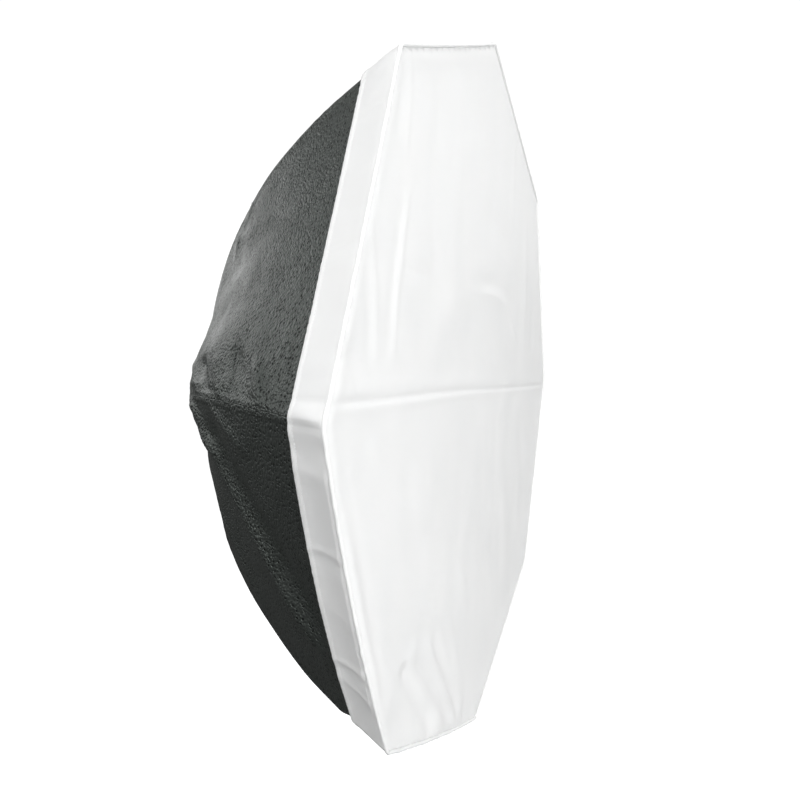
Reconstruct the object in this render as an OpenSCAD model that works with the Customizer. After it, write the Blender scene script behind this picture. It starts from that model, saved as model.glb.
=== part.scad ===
// Octagonal studio softbox on a rotating three-lug speed ring.
// Frame: +Y runs backwards, out of the mount face at Y = 0. The front cloth faces -Y, and +Z is up.
// Eight bent rods stand at 0, 45, 90 ... degrees round the Y axis, and every cloth layer is an arc
// concentric with the rods, laid flat between two neighbouring rods.

/* [Octagon] */
// Across two opposite front corners, outside the skirt
corner_diameter = 950; // [790:10:1180]
// From the mount face to the front cloth
box_depth = 428; // [356:1:520]
// Bend radius of a sprung rod's centreline
rod_bend_radius = 862; // [718:1:1300]
// Depth of the white skirt behind the front corner
skirt_depth = 48; // [36:1:64]

/* [Cloth] */
// Thickness of the shell cloth, with its lining
shell_cloth = 1.2; // [0.8:0.1:2.4]
// Thickness of the diffuser cloth
diffuser_cloth = 1.2; // [0.8:0.1:2.4]
// Thickness of the tape that covers a seam inside
seam_tape_cloth = 0.8; // [0.5:0.1:1.6]
// Width of a seam tape on each side of its seam
seam_tape_half_width = 9; // [6:0.5:14]
// Thickness of one half of the touch fastener
fastener_tape = 1.4; // [1:0.1:2]
// Width of the touch fastener
fastener_width = 25; // [20:1:30]
// Diameter of the piping round the front edge
piping_diameter = 3.6; // [2.4:0.1:5]
// Width of the binding round the neck
neck_binding_width = 16; // [10:1:22]

/* [Rods] */
// Diameter of a rod
rod_diameter = 4.8; // [4:0.1:6]
// Gap between a rod and the seam tape
rod_gap = 0.6; // [0.4:0.1:1.2]
// Wall of the ferrule on a rod's inner end
ferrule_wall = 0.6; // [0.5:0.1:1]
// Wall of the rubber cap on a rod's outer end
tip_wall = 0.9; // [0.6:0.1:1]
// Length of a tip cap
tip_length = 24; // [16:1:36]
// Length of a corner pocket
pocket_length = 46; // [34:1:60]

/* [Speed ring] */
// Radius of the mount insert's seat
insert_radius = 72.5; // [60:0.5:88]
// Radius of the opening for the lamp
lamp_radius = 49; // [42:0.5:54]
// Wall of the speed ring outside its seat
ring_wall = 14.5; // [12:0.5:20]
// Length of the insert's seat
seat_length = 16; // [14:0.5:22]
// Depth of a rod socket
socket_depth = 25; // [20:1:26]
// Outer radius of a socket boss
boss_radius = 7; // [6:0.25:9]
// Height of a bayonet lug behind the mount face
lug_height = 11; // [8:0.5:14]

/* [Lock screws] */
// Radius of a lock screw's shank
lock_shank_radius = 3; // [2.5:0.25:4]
// Radius of a lock screw's knob
lock_knob_radius = 10; // [8:0.5:13]
// Length of a lock screw's knob
lock_knob_length = 16; // [12:1:22]

/* [Baffle] */
// From the mount face to the inner baffle
baffle_depth = 205; // [160:1:250]
// Gap between the baffle's corners and the rods
baffle_gap = 44; // [36:1:70]
// Thickness of the baffle cloth
baffle_cloth = 1; // [0.6:0.1:1.6]
// Width of a baffle strap
strap_width = 20; // [14:1:26]

/* [Hidden] */
$fn = 64;
corners = 8;
turn = 360 / corners;
arc_steps = 12;       // facets along every cloth layer
near = 0.03;          // clearance between parts that are pressed or sewn together
running = 0.06;       // radial clearance of parts that turn or slide
rod_r = rod_diameter / 2;
piping_r = piping_diameter / 2;
corner_r = corner_diameter / 2;
front_y = -box_depth;

// Layers, as distances outside the rod's centreline
tape_in = rod_r + rod_gap;
shell_in = tape_in + seam_tape_cloth;
shell_out = shell_in + shell_cloth;
loop_out = shell_out + fastener_tape;
hook_out = loop_out + fastener_tape;
skirt_out = hook_out + diffuser_cloth;

// Speed ring, front to back
retainer_thickness = 2;
insert_neck = 4;                                   // from the ring casting's back to the mount face
ring_back_y = -insert_neck;
retainer_back_y = ring_back_y + retainer_thickness;
seat_front_y = ring_back_y - seat_length;
front_lip = 6;
socket_floor = 3;                                  // metal behind a socket's blind end
ring_front_y = seat_front_y - front_lip;
ring_outer_r = insert_radius + ring_wall;
neck_r = insert_radius - 6;                        // insert's neck, inside the retaining ring
front_opening_r = neck_r - 2;

// A rod leaves its socket straight, then bends. The bend starts here:
straight_out = 8;
bend_start = [ring_outer_r + 23, ring_front_y - 2];

// Centre of every arc, in [radius, y]. It is one bend radius from the bend's start, and the
// skirt's arc round the same centre passes through the front corner.
front_corner = [corner_r, front_y];
skirt_arc_r = rod_bend_radius + skirt_out;
corner_span = norm(bend_start - front_corner);
along = (corner_span * corner_span + skirt_arc_r * skirt_arc_r - rod_bend_radius * rod_bend_radius)
        / (2 * corner_span);
across = sqrt(skirt_arc_r * skirt_arc_r - along * along);
span_dir = (bend_start - front_corner) / corner_span;
arc_centre = front_corner + along * span_dir + across * [-span_dir[1], span_dir[0]];

// Angle on the arc at a given y, and at a given radius
function angle_at_y(off, y) = asin((y - arc_centre[1]) / (rod_bend_radius + off));
function angle_at_r(off, r) = acos((r - arc_centre[0]) / (rod_bend_radius + off));
function on_arc(off, a) = arc_centre + (rod_bend_radius + off) * [cos(a), sin(a)];
function reversed(list) = [for (i = [len(list) - 1 : -1 : 0]) list[i]];
function degrees_of(length) = length / rod_bend_radius * 180 / PI;

bend_angle = angle_at_r(0, bend_start[0]);
socket_dir = [sin(bend_angle), -cos(bend_angle)];  // outwards along a socket
socket_mouth = bend_start - straight_out * socket_dir;
neck_hem_r = bend_start[0] + 8;                    // where the shell's cloth ends
tip_angle = angle_at_y(0, front_y + 7);            // a rod's outer end

// Every layer has its facets' edges at the same angles, so that layers lie flat on each other.
// A place along a layer is a number of steps from the front, up to arc_steps at the neck.
shell_neck = angle_at_r(shell_in, neck_hem_r);
grid_front = angle_at_y(skirt_out, front_y);
grid_step = (shell_neck - grid_front) / arc_steps;
step_length = rod_bend_radius * grid_step * PI / 180;
function grid_sin(i) = sin(grid_front + grid_step * i);
function on_layer(off, t) =
    let (i = min(floor(t), arc_steps - 1))
    on_arc(off, grid_front + grid_step * i) * (1 - t + i)
    + on_arc(off, grid_front + grid_step * (i + 1)) * (t - i);
function step_at_y(off, y) =
    let (s = (y - arc_centre[1]) / (rod_bend_radius + off),
         i = max([for (j = [0 : arc_steps - 1]) if (j == 0 || grid_sin(j) <= s) j]))
    i + (s - grid_sin(i)) / (grid_sin(i + 1) - grid_sin(i));

// Outline between two layers, cut square to y at its front and square to the arc at its back.
// Its two halves have equal numbers of points.
function layer(inner, outer, y_front, back) =
    let (a = step_at_y(inner, y_front), b = step_at_y(outer, y_front),
         between = [for (i = [ceil(max(a, b)) : 1 : ceil(back) - 1]) i])
    concat([for (t = concat([b], between, [back])) on_layer(outer, t)],
           reversed([for (t = concat([a], between, [back])) on_layer(inner, t)]));

// ---- Shapes swept round the octagon ----

// A point of an outline, at corner k, and moved along the octagon's side by w
function at(p, k) = [p[0] * cos(turn * k), p[1], p[0] * sin(turn * k)];
function side_dir(k) = [-sin(turn * (k + 0.5)), 0, cos(turn * (k + 0.5))];
function beside(outline, k, w) =
    [for (p = outline) at(p, k) + w * (w < 0 ? side_dir(k - 1) : side_dir(k))];

// Solid through a list of sections, joined end to end if closed. An outline's second half runs
// back beside its first, so that an end is closed by a row of four-sided faces.
module through(sections, closed = false) {
    n = len(sections[0]);
    count = len(sections);
    last = closed ? count - 1 : count - 2;
    walls = [for (s = [0 : last]) for (i = [0 : n - 1])
        let (j = (i + 1) % n, t = (s + 1) % count)
        [s * n + i, t * n + i, t * n + j, s * n + j]];
    end = [for (i = [0 : n / 2 - 2]) [i, i + 1, n - 2 - i, n - 1 - i]];
    caps = closed ? [] : concat(end, [for (f = end) [for (v = reversed(f)) v + (count - 1) * n]]);
    polyhedron(points = [for (s = sections) for (p = s) p], faces = concat(walls, caps));
}

module octagon_band(outline)
    through([for (k = [0 : corners - 1]) [for (p = outline) at(p, k)]], closed = true);

module side_panel(outline, k)
    through([[for (p = outline) at(p, k)], [for (p = outline) at(p, k + 1)]]);

// A strip folded over corner k, to w on each side of it
module corner_strip(outline, k, w)
    through([beside(outline, k, -w), [for (p = outline) at(p, k)], beside(outline, k, w)]);

module at_corner(k) rotate([0, -turn * k, 0]) children();
module at_each_corner() for (k = [0 : corners - 1]) at_corner(k) children();

// Round bar of radius r along the rods' arc, from angle a0 to a1, in corner 0's plane
module arc_bar(r, a0, a1)
    translate([arc_centre[0], arc_centre[1], 0])
        rotate([0, 0, a0])
            rotate_extrude(angle = a1 - a0, $fn = 360)
                translate([rod_bend_radius, 0]) circle(r, $fn = 24);

// Round bar along a socket's line, from distance d0 to d1 in front of the bend's start
module socket_bar(r, d0, d1)
    translate([bend_start[0] + d0 * socket_dir[0], bend_start[1] + d0 * socket_dir[1], 0])
        rotate([0, 0, bend_angle - 90]) rotate([0, 90, 0]) cylinder(r = r, h = d1 - d0);

module disc(r, y0, y1) translate([0, y0, 0]) rotate([-90, 0, 0]) cylinder(r = r, h = y1 - y0);

// ---- Speed ring ----

lock_y = (seat_front_y + ring_back_y) / 2;
lock_turns = [for (n = [0 : 1]) turn * 1.5 + 180 * n];
groove_depth = 1.5;
groove_half_width = lock_shank_radius + 0.6;
pad_radius = lock_shank_radius - 0.5;
pad_in = insert_radius - groove_depth + 0.05;
pad_length = 1.5;
lock_boss_r = lock_shank_radius + 4;
lock_boss_out = ring_outer_r + 7;
knob_in = lock_boss_out + 2;
knob_chamfer = 1.2;
knob_hub_r = lock_knob_radius * 0.62;
knob_hub_length = 1.5;
knob_ridges = 20;
knob_groove_r = 0.9;

module at_lock(angle) rotate([0, -angle, 0]) children();
module radial_bar(r, x0, x1) translate([x0, lock_y, 0]) rotate([0, 90, 0]) cylinder(r = r, h = x1 - x0);

retainer_screw_r = insert_radius + ring_wall / 2;
retainer_screw_turns = [for (k = [0 : corners - 1]) turn * (k + 0.25)];
screw_shank_r = 1.4;
screw_head_r = 2.7;
screw_head = 1.4;
screw_slot = 0.8;
screw_length = 9;
module at_retainer_screws()
    for (a = retainer_screw_turns) rotate([0, -a, 0]) translate([retainer_screw_r, 0, 0]) children();

module mount_insert() color("silver")
    difference() {
        union() {
            disc(insert_radius - running, seat_front_y + running, ring_back_y - running);
            disc(neck_r, seat_front_y + running, 0);
        }
        disc(lamp_radius, seat_front_y - 1, 1);
        // groove that the lock screws press into
        rotate([-90, 0, 0]) translate([0, 0, lock_y])
            rotate_extrude() translate([insert_radius - groove_depth, -groove_half_width])
                square([groove_depth + 1, 2 * groove_half_width]);
    }

lug_count = 3;
lug_arc = 26;
lug_in = lamp_radius + 3;
lug_post = 3.5;
lug_reach = 8;
lug_tab = 3;
module bayonet_lugs() color("gainsboro")
    for (n = [0 : lug_count - 1])
        rotate([-90, 0, 0]) rotate([0, 0, -90 - lug_arc / 2 + 360 / lug_count * n])
            rotate_extrude(angle = lug_arc)
                polygon([[lug_in, 0], [lug_in + lug_post, 0],
                         [lug_in + lug_post, lug_height - lug_tab],
                         [lug_in + lug_reach, lug_height - lug_tab],
                         [lug_in + lug_reach, lug_height], [lug_in, lug_height]]);

module speedring() color("dimgray")
    difference() {
        union() {
            disc(ring_outer_r, ring_front_y, ring_back_y);
            at_each_corner() socket_bar(boss_radius, -straight_out - socket_depth - socket_floor, -straight_out);
            for (a = lock_turns) at_lock(a) radial_bar(lock_boss_r, insert_radius + 4, lock_boss_out);
        }
        disc(insert_radius, seat_front_y, 1);
        disc(front_opening_r, ring_front_y - 20, 1);
        // keeps the bosses' inner ends out of the back face
        disc(ring_outer_r + 20, ring_back_y, 10);
        at_each_corner() socket_bar(socket_hole_r, -straight_out - socket_depth, 5);
        for (a = lock_turns) at_lock(a)
            radial_bar(lock_shank_radius + running, insert_radius - 1, lock_boss_out + 1);
        at_retainer_screws() disc(screw_shank_r + near, -screw_length - 3, 1);
    }

module retaining_ring() color("dimgray")
    difference() {
        disc(ring_outer_r - 1, ring_back_y + near, retainer_back_y);
        disc(neck_r + 0.4, ring_back_y - 1, 1);
        at_retainer_screws() disc(screw_shank_r + 0.2, ring_back_y - 1, 1);
    }

module retaining_screws() color("silver")
    at_retainer_screws() {
        disc(screw_shank_r, -screw_length, retainer_back_y + screw_head / 2);
        difference() {
            disc(screw_head_r, retainer_back_y + near, retainer_back_y + screw_head);
            translate([-screw_slot / 2, retainer_back_y + screw_head - screw_slot / 2, -screw_head_r])
                cube([screw_slot, 1, 2 * screw_head_r]);
        }
    }

// ---- Lock screws ----

module lock_pad(n) color("goldenrod") at_lock(lock_turns[n])
    radial_bar(pad_radius, pad_in, pad_in + pad_length);

module lock_shank(n) color("silver") at_lock(lock_turns[n])
    radial_bar(lock_shank_radius, pad_in + pad_length + near, knob_in);

module lock_knob(n) color("black") at_lock(lock_turns[n])
    difference() {
        union() {
            radial_bar(knob_hub_r, knob_in - knob_hub_length, knob_in);
            radial_bar(lock_knob_radius, knob_in, knob_in + lock_knob_length - knob_chamfer);
            radial_bar(lock_knob_radius - knob_chamfer, knob_in, knob_in + lock_knob_length);
        }
        radial_bar(lock_shank_radius + near, knob_in - 2, knob_in + near);
        for (i = [0 : knob_ridges - 1])
            translate([knob_in + 1.5, lock_y, 0]) rotate([360 / knob_ridges * i, 0, 0])
                translate([0, lock_knob_radius + knob_groove_r * 0.4, 0]) rotate([0, 90, 0])
                    cylinder(r = knob_groove_r, h = lock_knob_length, $fn = 16);
    }

// ---- Rods ----

rod_end_r = rod_r + 0.1;                           // swaged end that sits in the ferrule
ferrule_r = rod_end_r + ferrule_wall;
socket_hole_r = ferrule_r + running;
socket_floor_gap = 1;                              // a rod stops this far short of its socket's floor
ferrule_out = -1;                                  // ends just short of the bend
rod_inner_end = -straight_out - socket_depth + socket_floor_gap;
rod_overlap = 2;                                   // the bent part runs this far into the swaged end
module rod(k) color("silver") at_corner(k)
    union() {
        socket_bar(rod_end_r, rod_inner_end, ferrule_out);
        arc_bar(rod_r, tip_angle, bend_angle + degrees_of(rod_overlap));
    }

module rod_ferrules() color("goldenrod") at_each_corner()
    difference() {
        socket_bar(ferrule_r, rod_inner_end, ferrule_out);
        socket_bar(rod_end_r + near, rod_inner_end - 1, 1);
    }

module rod_tips() color("black") at_each_corner()
    difference() {
        arc_bar(rod_r + tip_wall, tip_angle - degrees_of(2.5), tip_angle + degrees_of(tip_length));
        arc_bar(rod_r + near, tip_angle - degrees_of(near), tip_angle + degrees_of(tip_length + 2));
    }

// Pocket of webbing over each rod's tip, sewn to the shell on both sides of the corner
pocket_in = -(rod_r + tip_wall + 1.6);
pocket_cloth = 1;
pocket_half_width = 15;
pocket_side = 3;
pocket_front_y = front_y + 9;
pocket_back = step_at_y(0, pocket_front_y) + pocket_length / step_length;
pocket_shell_gap = 0.05;
pocket_inset = 0.3;                                // the side walls stand in this far from the edges
pocket_wall_in = pocket_half_width - pocket_side - pocket_inset;
module pocket_wall(k, w0, w1)
    through([for (w = [w0, w1])
        beside(layer(pocket_in + pocket_cloth / 2, shell_in - pocket_shell_gap,
                     pocket_front_y + pocket_inset, pocket_back - pocket_inset / step_length),
               k, w)]);
module tip_pockets() color("dimgray")
    for (k = [0 : corners - 1]) union() {
        corner_strip(layer(pocket_in, pocket_in + pocket_cloth, pocket_front_y, pocket_back),
                     k, pocket_half_width);
        pocket_wall(k, pocket_wall_in, pocket_wall_in + pocket_side);
        pocket_wall(k, -pocket_wall_in - pocket_side, -pocket_wall_in);
    }

// ---- Shell ----

shell_front_y = front_y + piping_diameter + 0.4;
module shell_panel(k) color("#303331")
    side_panel(layer(shell_in, shell_out, shell_front_y, arc_steps), k);

module seam_tapes() color("gray")
    for (k = [0 : corners - 1])
        corner_strip(layer(tape_in, shell_in - pocket_shell_gap, pocket_front_y + pocket_length,
                           arc_steps), k, seam_tape_half_width);

module neck_binding() color("black")
    octagon_band(layer(shell_out, shell_out + shell_cloth,
                       on_layer(shell_out, arc_steps - neck_binding_width / step_length)[1],
                       arc_steps));

fastener_front_y = shell_front_y + 8;
fastener_back = step_at_y(0, fastener_front_y) + fastener_width / step_length;
module loop_tape() color("dimgray")
    octagon_band(layer(shell_out + near, loop_out, fastener_front_y, fastener_back));

// ---- Front diffuser ----

module hook_tape() color("white")
    octagon_band(layer(loop_out + near, hook_out - near, fastener_front_y, fastener_back));

module diffuser_skirt() color("whitesmoke")
    octagon_band(layer(hook_out, skirt_out, front_y + piping_diameter + near,
                       step_at_y(skirt_out, front_y + skirt_depth)));

module diffuser_piping() color("white")
    octagon_band([for (i = [0 : 11])
        [corner_r - piping_r, front_y + piping_r] + piping_r * [cos(30 * i), sin(30 * i)]]);

module diffuser_face() color("whitesmoke")
    rotate([-90, 0, 0]) translate([0, 0, front_y + piping_r - diffuser_cloth / 2])
        cylinder(r = corner_r - piping_diameter - near, h = diffuser_cloth, $fn = corners);

// ---- Inner baffle ----

baffle_y = -baffle_depth;
border_width = 12;
border_cloth = 0.8;
strap_cloth = 1.2;
strap_overlap = 16;
tab_thickness = 3;
tab_half_length = 7;
snap_r = 5;
snap_height = 1.8;
strap_y = baffle_y + baffle_cloth + border_cloth;  // the strap lies behind the border
tab_y = strap_y + strap_cloth;
tab_back_y = tab_y + tab_thickness;
snap_back_y = tab_back_y + snap_height;
function rod_inside(y) = on_arc(-rod_r, angle_at_y(-rod_r, y))[0];
baffle_r = rod_inside(baffle_y) - baffle_gap;
snap_at = rod_inside(snap_back_y) - snap_r - 2;
strap_out = snap_at + tab_half_length;
tab_in = snap_at - tab_half_length;

module octagon_plate(r, y0, y1)
    rotate([-90, 0, 0]) translate([0, 0, y0]) cylinder(r = r, h = y1 - y0, $fn = corners);

module inner_baffle() color("white") octagon_plate(baffle_r, baffle_y, baffle_y + baffle_cloth);

module baffle_border() color("white")
    difference() {
        octagon_plate(baffle_r, baffle_y + baffle_cloth, strap_y);
        octagon_plate(baffle_r - border_width, baffle_y, strap_y + 1);
    }

module baffle_straps() color("white") at_each_corner()
    translate([baffle_r - strap_overlap, strap_y, -strap_width / 2])
        cube([strap_out - baffle_r + strap_overlap, strap_cloth, strap_width]);

// Webbing tab sewn into the seam. It forks, and its two legs pass the rod.
fork_half_gap = rod_r + 0.4;
fork_bottom = rod_inside(tab_back_y) - 1.5;
tab_seam_gap = 0.1;                                // between a tab's end and the seam tape
function tab_out(y) = on_layer(tape_in, step_at_y(tape_in, y))[0] - tab_seam_gap;
module seam_tabs() color("black")
    for (k = [0 : corners - 1])
        difference() {
            corner_strip([[tab_in, tab_y], [tab_out(tab_y), tab_y],
                          [tab_out(tab_back_y), tab_back_y], [tab_in, tab_back_y]],
                         k, strap_width / 2);
            at_corner(k) translate([fork_bottom, tab_y - 1, -fork_half_gap])
                cube([50, tab_thickness + 2, 2 * fork_half_gap]);
        }

module at_snaps() at_each_corner() translate([snap_at, 0, 0]) children();
module snap_caps() color("silver") at_snaps() disc(snap_r, strap_y - snap_height, strap_y);
module snap_studs() color("silver")
    at_snaps() disc(snap_r, tab_back_y, snap_back_y);

// ---- Nodes ----

function numbered(name, n) = [for (i = [1 : n]) str(name, "_", i)];

mount_insert();
bayonet_lugs();
speedring();
retaining_ring();
retaining_screws();
for (n = [0 : 1]) {
    lock_pad(n);
    lock_shank(n);
    lock_knob(n);
}
for (k = [0 : corners - 1]) {
    rod(k);
    shell_panel(k);
}
rod_ferrules();
rod_tips();
tip_pockets();
seam_tapes();
neck_binding();
loop_tape();
hook_tape();
diffuser_skirt();
diffuser_piping();
diffuser_face();
inner_baffle();
baffle_border();
baffle_straps();
seam_tabs();
snap_caps();
snap_studs();
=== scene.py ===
import math

import bmesh
import bpy
import numpy as np
from mathutils import Matrix, Vector, noise


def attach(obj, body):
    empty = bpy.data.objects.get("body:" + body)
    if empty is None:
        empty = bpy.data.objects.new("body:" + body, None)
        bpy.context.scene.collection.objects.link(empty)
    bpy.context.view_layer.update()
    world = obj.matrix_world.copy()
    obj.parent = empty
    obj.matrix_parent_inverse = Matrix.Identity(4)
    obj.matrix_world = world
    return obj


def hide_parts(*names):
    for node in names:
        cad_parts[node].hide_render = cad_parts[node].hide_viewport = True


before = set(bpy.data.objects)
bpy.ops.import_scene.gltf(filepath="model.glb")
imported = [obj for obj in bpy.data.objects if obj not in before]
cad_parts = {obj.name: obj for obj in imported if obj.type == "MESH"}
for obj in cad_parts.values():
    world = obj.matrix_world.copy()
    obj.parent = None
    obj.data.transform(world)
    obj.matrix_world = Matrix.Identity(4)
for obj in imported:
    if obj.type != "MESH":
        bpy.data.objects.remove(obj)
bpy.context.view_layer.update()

# ---------------------------------------------------------------------------------------------
# The camera stands at the softbox's left front, level with its middle, and looks a little down.
# It is lit by six soft panels: above, in front, low on the left, two behind, and one on the right.
# They stand in a white studio with a bright sky, over a plain pale floor far below.
# ---------------------------------------------------------------------------------------------
scene = bpy.context.scene
scene.view_settings.view_transform = "Standard"

camera = bpy.data.objects.new("camera", bpy.data.cameras.new("camera"))
scene.collection.objects.link(camera)
camera.data.lens = 30.17
camera.data.sensor_width = 36
camera.data.clip_start = 0.02
camera_look = Vector((0.92560, 0.37097, -0.07513)).normalized()
camera_up = Vector((0.06256, 0.04583, 0.99699))
camera_right = camera_look.cross(camera_up).normalized()
camera_up = camera_right.cross(camera_look)
camera.matrix_world = Matrix((
    (camera_right.x, camera_up.x, -camera_look.x, -0.91488),
    (camera_right.y, camera_up.y, -camera_look.y, -0.66509),
    (camera_right.z, camera_up.z, -camera_look.z, 0.05984),
    (0, 0, 0, 1)))
scene.camera = camera


def soft_panel(name, place, aim, width, height, watts):
    light = bpy.data.lights.new(name, "AREA")
    light.shape = "RECTANGLE"
    light.size, light.size_y = width, height
    light.energy = watts
    panel = bpy.data.objects.new(name, light)
    scene.collection.objects.link(panel)
    panel.location = place
    panel.visible_camera = False
    panel.rotation_euler = (Vector(aim) - Vector(place)).to_track_quat("-Z", "Y").to_euler()


soft_panel("panel_above", (-2.1, -0.9, 2.3), (0, -0.2, 0), 1.6, 1.6, 68)
soft_panel("panel_front", (-0.3, -2.7, 0.2), (0.1, -0.4, -0.1), 2.2, 2.2, 43)
soft_panel("panel_fill", (-1.9, -1.5, -1.0), (-0.2, -0.3, -0.1), 1.6, 1.6, 25)
soft_panel("panel_back", (1.3, 2.3, 0.95), (-0.1, -0.1, 0.1), 2.4, 1.3, 14)
soft_panel("panel_rear", (-1.9, 2.3, 1.0), (0, 0, 0), 1.8, 1.8, 24)
soft_panel("panel_right", (2.4, -0.4, 1.2), (0, -0.2, 0), 1.5, 1.5, 12)

world = bpy.data.worlds.new("white_studio")
scene.world = world
world.use_nodes = True
sky = world.node_tree
sky.nodes.clear()
sky_out = sky.nodes.new("ShaderNodeOutputWorld")
seen = sky.nodes.new("ShaderNodeBackground")
seen.inputs["Color"].default_value = (1, 1, 1, 1)
seen.inputs["Strength"].default_value = 1.05
lit = sky.nodes.new("ShaderNodeBackground")
place = sky.nodes.new("ShaderNodeTexCoord")
split = sky.nodes.new("ShaderNodeSeparateXYZ")
shade = sky.nodes.new("ShaderNodeMapRange")
shade.inputs["From Min"].default_value = -0.25
shade.inputs["From Max"].default_value = 0.45
shade.inputs["To Min"].default_value = 0.10
shade.inputs["To Max"].default_value = 0.34
sky.links.new(place.outputs["Generated"], split.inputs[0])
sky.links.new(split.outputs["Z"], shade.inputs["Value"])
sky.links.new(shade.outputs["Result"], lit.inputs["Strength"])
ray = sky.nodes.new("ShaderNodeLightPath")
which = sky.nodes.new("ShaderNodeMixShader")
sky.links.new(ray.outputs["Is Camera Ray"], which.inputs[0])
sky.links.new(lit.outputs[0], which.inputs[1])
sky.links.new(seen.outputs[0], which.inputs[2])
sky.links.new(which.outputs[0], sky_out.inputs[0])


def finish_mesh(bm, name):
    mesh = bpy.data.meshes.new(name)
    bm.to_mesh(mesh)
    bm.free()
    piece = bpy.data.objects.new(name, mesh)
    scene.collection.objects.link(piece)
    for face in mesh.polygons:
        face.use_smooth = True
    return piece


bm = bmesh.new()
bmesh.ops.create_grid(bm, x_segments=24, y_segments=24, size=14,
                      matrix=Matrix.Translation((0, 0, -1.45)))
floor = finish_mesh(bm, "floor")
floor_paint = bpy.data.materials.new("floor_paint")
floor_paint.use_nodes = True
paint = floor_paint.node_tree.nodes["Principled BSDF"]
paint.inputs["Base Color"].default_value = (0.93, 0.93, 0.93, 1)
paint.inputs["Roughness"].default_value = 0.8
paint.inputs["Emission Color"].default_value = (1, 1, 1, 1)
paint.inputs["Emission Strength"].default_value = 0.80
floor.data.materials.append(floor_paint)
floor.visible_diffuse = floor.visible_glossy = False

# ---------------------------------------------------------------------------------------------
# The shell: eight gores of coated nylon, embossed with small pebbles outside and silver inside.
# They are sewn edge to edge along the rods, pulled tight between them, and gathered at the neck.
# Every layer of cloth in the softbox lies on an arc round one centre in the plane of each rod.
# ---------------------------------------------------------------------------------------------
ARC_R, ARC_Y = -0.3251453846, -0.7721051634     # the centre, as distance from the axis and as y
ROD_BEND = 0.862
SHELL_LIFT = 0.0050                             # shell cloth's outer face, out from a rod's middle
SHELL_CLOTH = 0.0009
neck_edge = math.acos((0.118 - ARC_R) / (ROD_BEND + 0.0038))
shell_front = math.asin((-0.4235 - ARC_Y) / (ROD_BEND + SHELL_LIFT))


def rod_plane(turn, lift, angle):
    """The point on an arc, in the rod plane that stands at this turn round the axis."""
    r = ARC_R + (ROD_BEND + lift) * math.cos(angle)
    return Vector((r * math.cos(turn), ARC_Y + (ROD_BEND + lift) * math.sin(angle),
                   r * math.sin(turn)))


def gore_out(k):
    """Directions of a gore: out of the octagon's side, and along it."""
    turn = math.radians(45 * k + 22.5)
    return Vector((math.cos(turn), 0, math.sin(turn))), Vector((-math.sin(turn), 0, math.cos(turn)))


def ease(x, low, high):
    t = min(1.0, max(0.0, (x - low) / (high - low)))
    return t * t * (3 - 2 * t)


def crease(across, along, a, b, width):
    """How near a point is to a straight crease from a to b, fading at its ends."""
    p = Vector((across, along))
    a, b = Vector(a), Vector(b)
    t = (p - a).dot(b - a) / (b - a).length_squared
    near = (p - a - max(0.0, min(1.0, t)) * (b - a)).length
    return math.exp(-(near / width) ** 2) * ease(t, -0.05, 0.2) * (1 - ease(t, 0.8, 1.05))

# How far the cloth stands out from its arc over each rod, and how far its ridge leans towards the
# rod before, in millimetres, from the front edge (0) to the neck (1). The rods aren't bent alike.
RIDGE_OUT = {
    0: [(0, 0), (0.1, 0), (0.4, 2), (0.7, 1), (1, 0)],
    1: [(0, 0), (0.1, 0), (0.4, 3), (0.7, 2), (1, 0)],
    2: [(0, 0), (0.1, 0), (0.3, 3), (0.55, 6), (0.75, 2), (0.9, -1), (1, 0)],
    3: [(0, 0), (0.1, 0), (0.25, 1), (0.4, 2), (0.55, 0), (0.8, -1.5), (1, 0)],
    4: [(0, 0), (0.1, 0), (0.3, 3), (0.5, 2), (0.8, 1), (1, 0)],
    5: [(0, 0), (0.085, 0), (0.12, 4.5), (0.24, 6.5), (0.34, 6.5), (0.5, 8), (0.62, 8),
        (0.74, 5), (0.86, 0.5), (1, 0)],
    6: [(0, 0), (0.1, 0), (0.4, 4), (0.7, 2), (1, 0)],
    7: [(0, 0), (0.1, 0), (0.4, 2), (0.7, 1), (1, 0)]}
RIDGE_LEAN = {
    4: [(0, 0), (0.07, 3), (0.15, 5), (0.3, 8), (0.45, 6), (0.72, 1.5), (1, 0)],
    5: [(0, 0), (0.3, -2), (0.6, -1), (1, 0)],
    6: [(0, 0), (0.4, 2), (1, 0)]}
# How far each side's front edge bows out between its corners, in millimetres.
SIDE_BOW = [0, 0, -1, -1, 9, 4, 1, 0]


def along_list(points, x):
    for (x0, y0), (x1, y1) in zip(points, points[1:]):
        if x <= x1:
            return y0 + (y1 - y0) * ease(x, x0, x1)
    return points[-1][1]


def arc_direction(k, angle):
    turn = math.radians(45 * k)
    return Vector((math.cos(turn) * math.cos(angle), math.sin(angle),
                   math.sin(turn) * math.cos(angle)))


def ridge(k, along, lift, angle):
    """A layer's fold over rod k, with the ridge's own bow and lean."""
    k = k % 8
    turn = math.radians(45 * k)
    place = rod_plane(turn, lift, angle)
    place += arc_direction(k, angle) * along_list(RIDGE_OUT[k], along) / 1000
    if k in RIDGE_LEAN:
        side = Vector((math.sin(turn), 0, -math.cos(turn)))
        place += side * along_list(RIDGE_LEAN[k], along) / 1000
    return place


def cloth_noise(x, y, size, seed):
    return noise.noise(Vector((x / size, y / size, seed * 7.31)))


def seam_pucker(distance, run, reach, pitch, seed):
    """Ripples that the stitching pulls into the cloth beside a seam."""
    wander = 0.9 * noise.noise(Vector((run / 0.05, distance / 0.03, seed)))
    size = 0.55 + 0.9 * noise.noise(Vector((run / 0.07, 3.3, seed * 1.7)))
    return max(0.0, size) * math.exp(-distance / reach) * math.sin(
        2 * math.pi * (run / pitch + wander))


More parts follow.
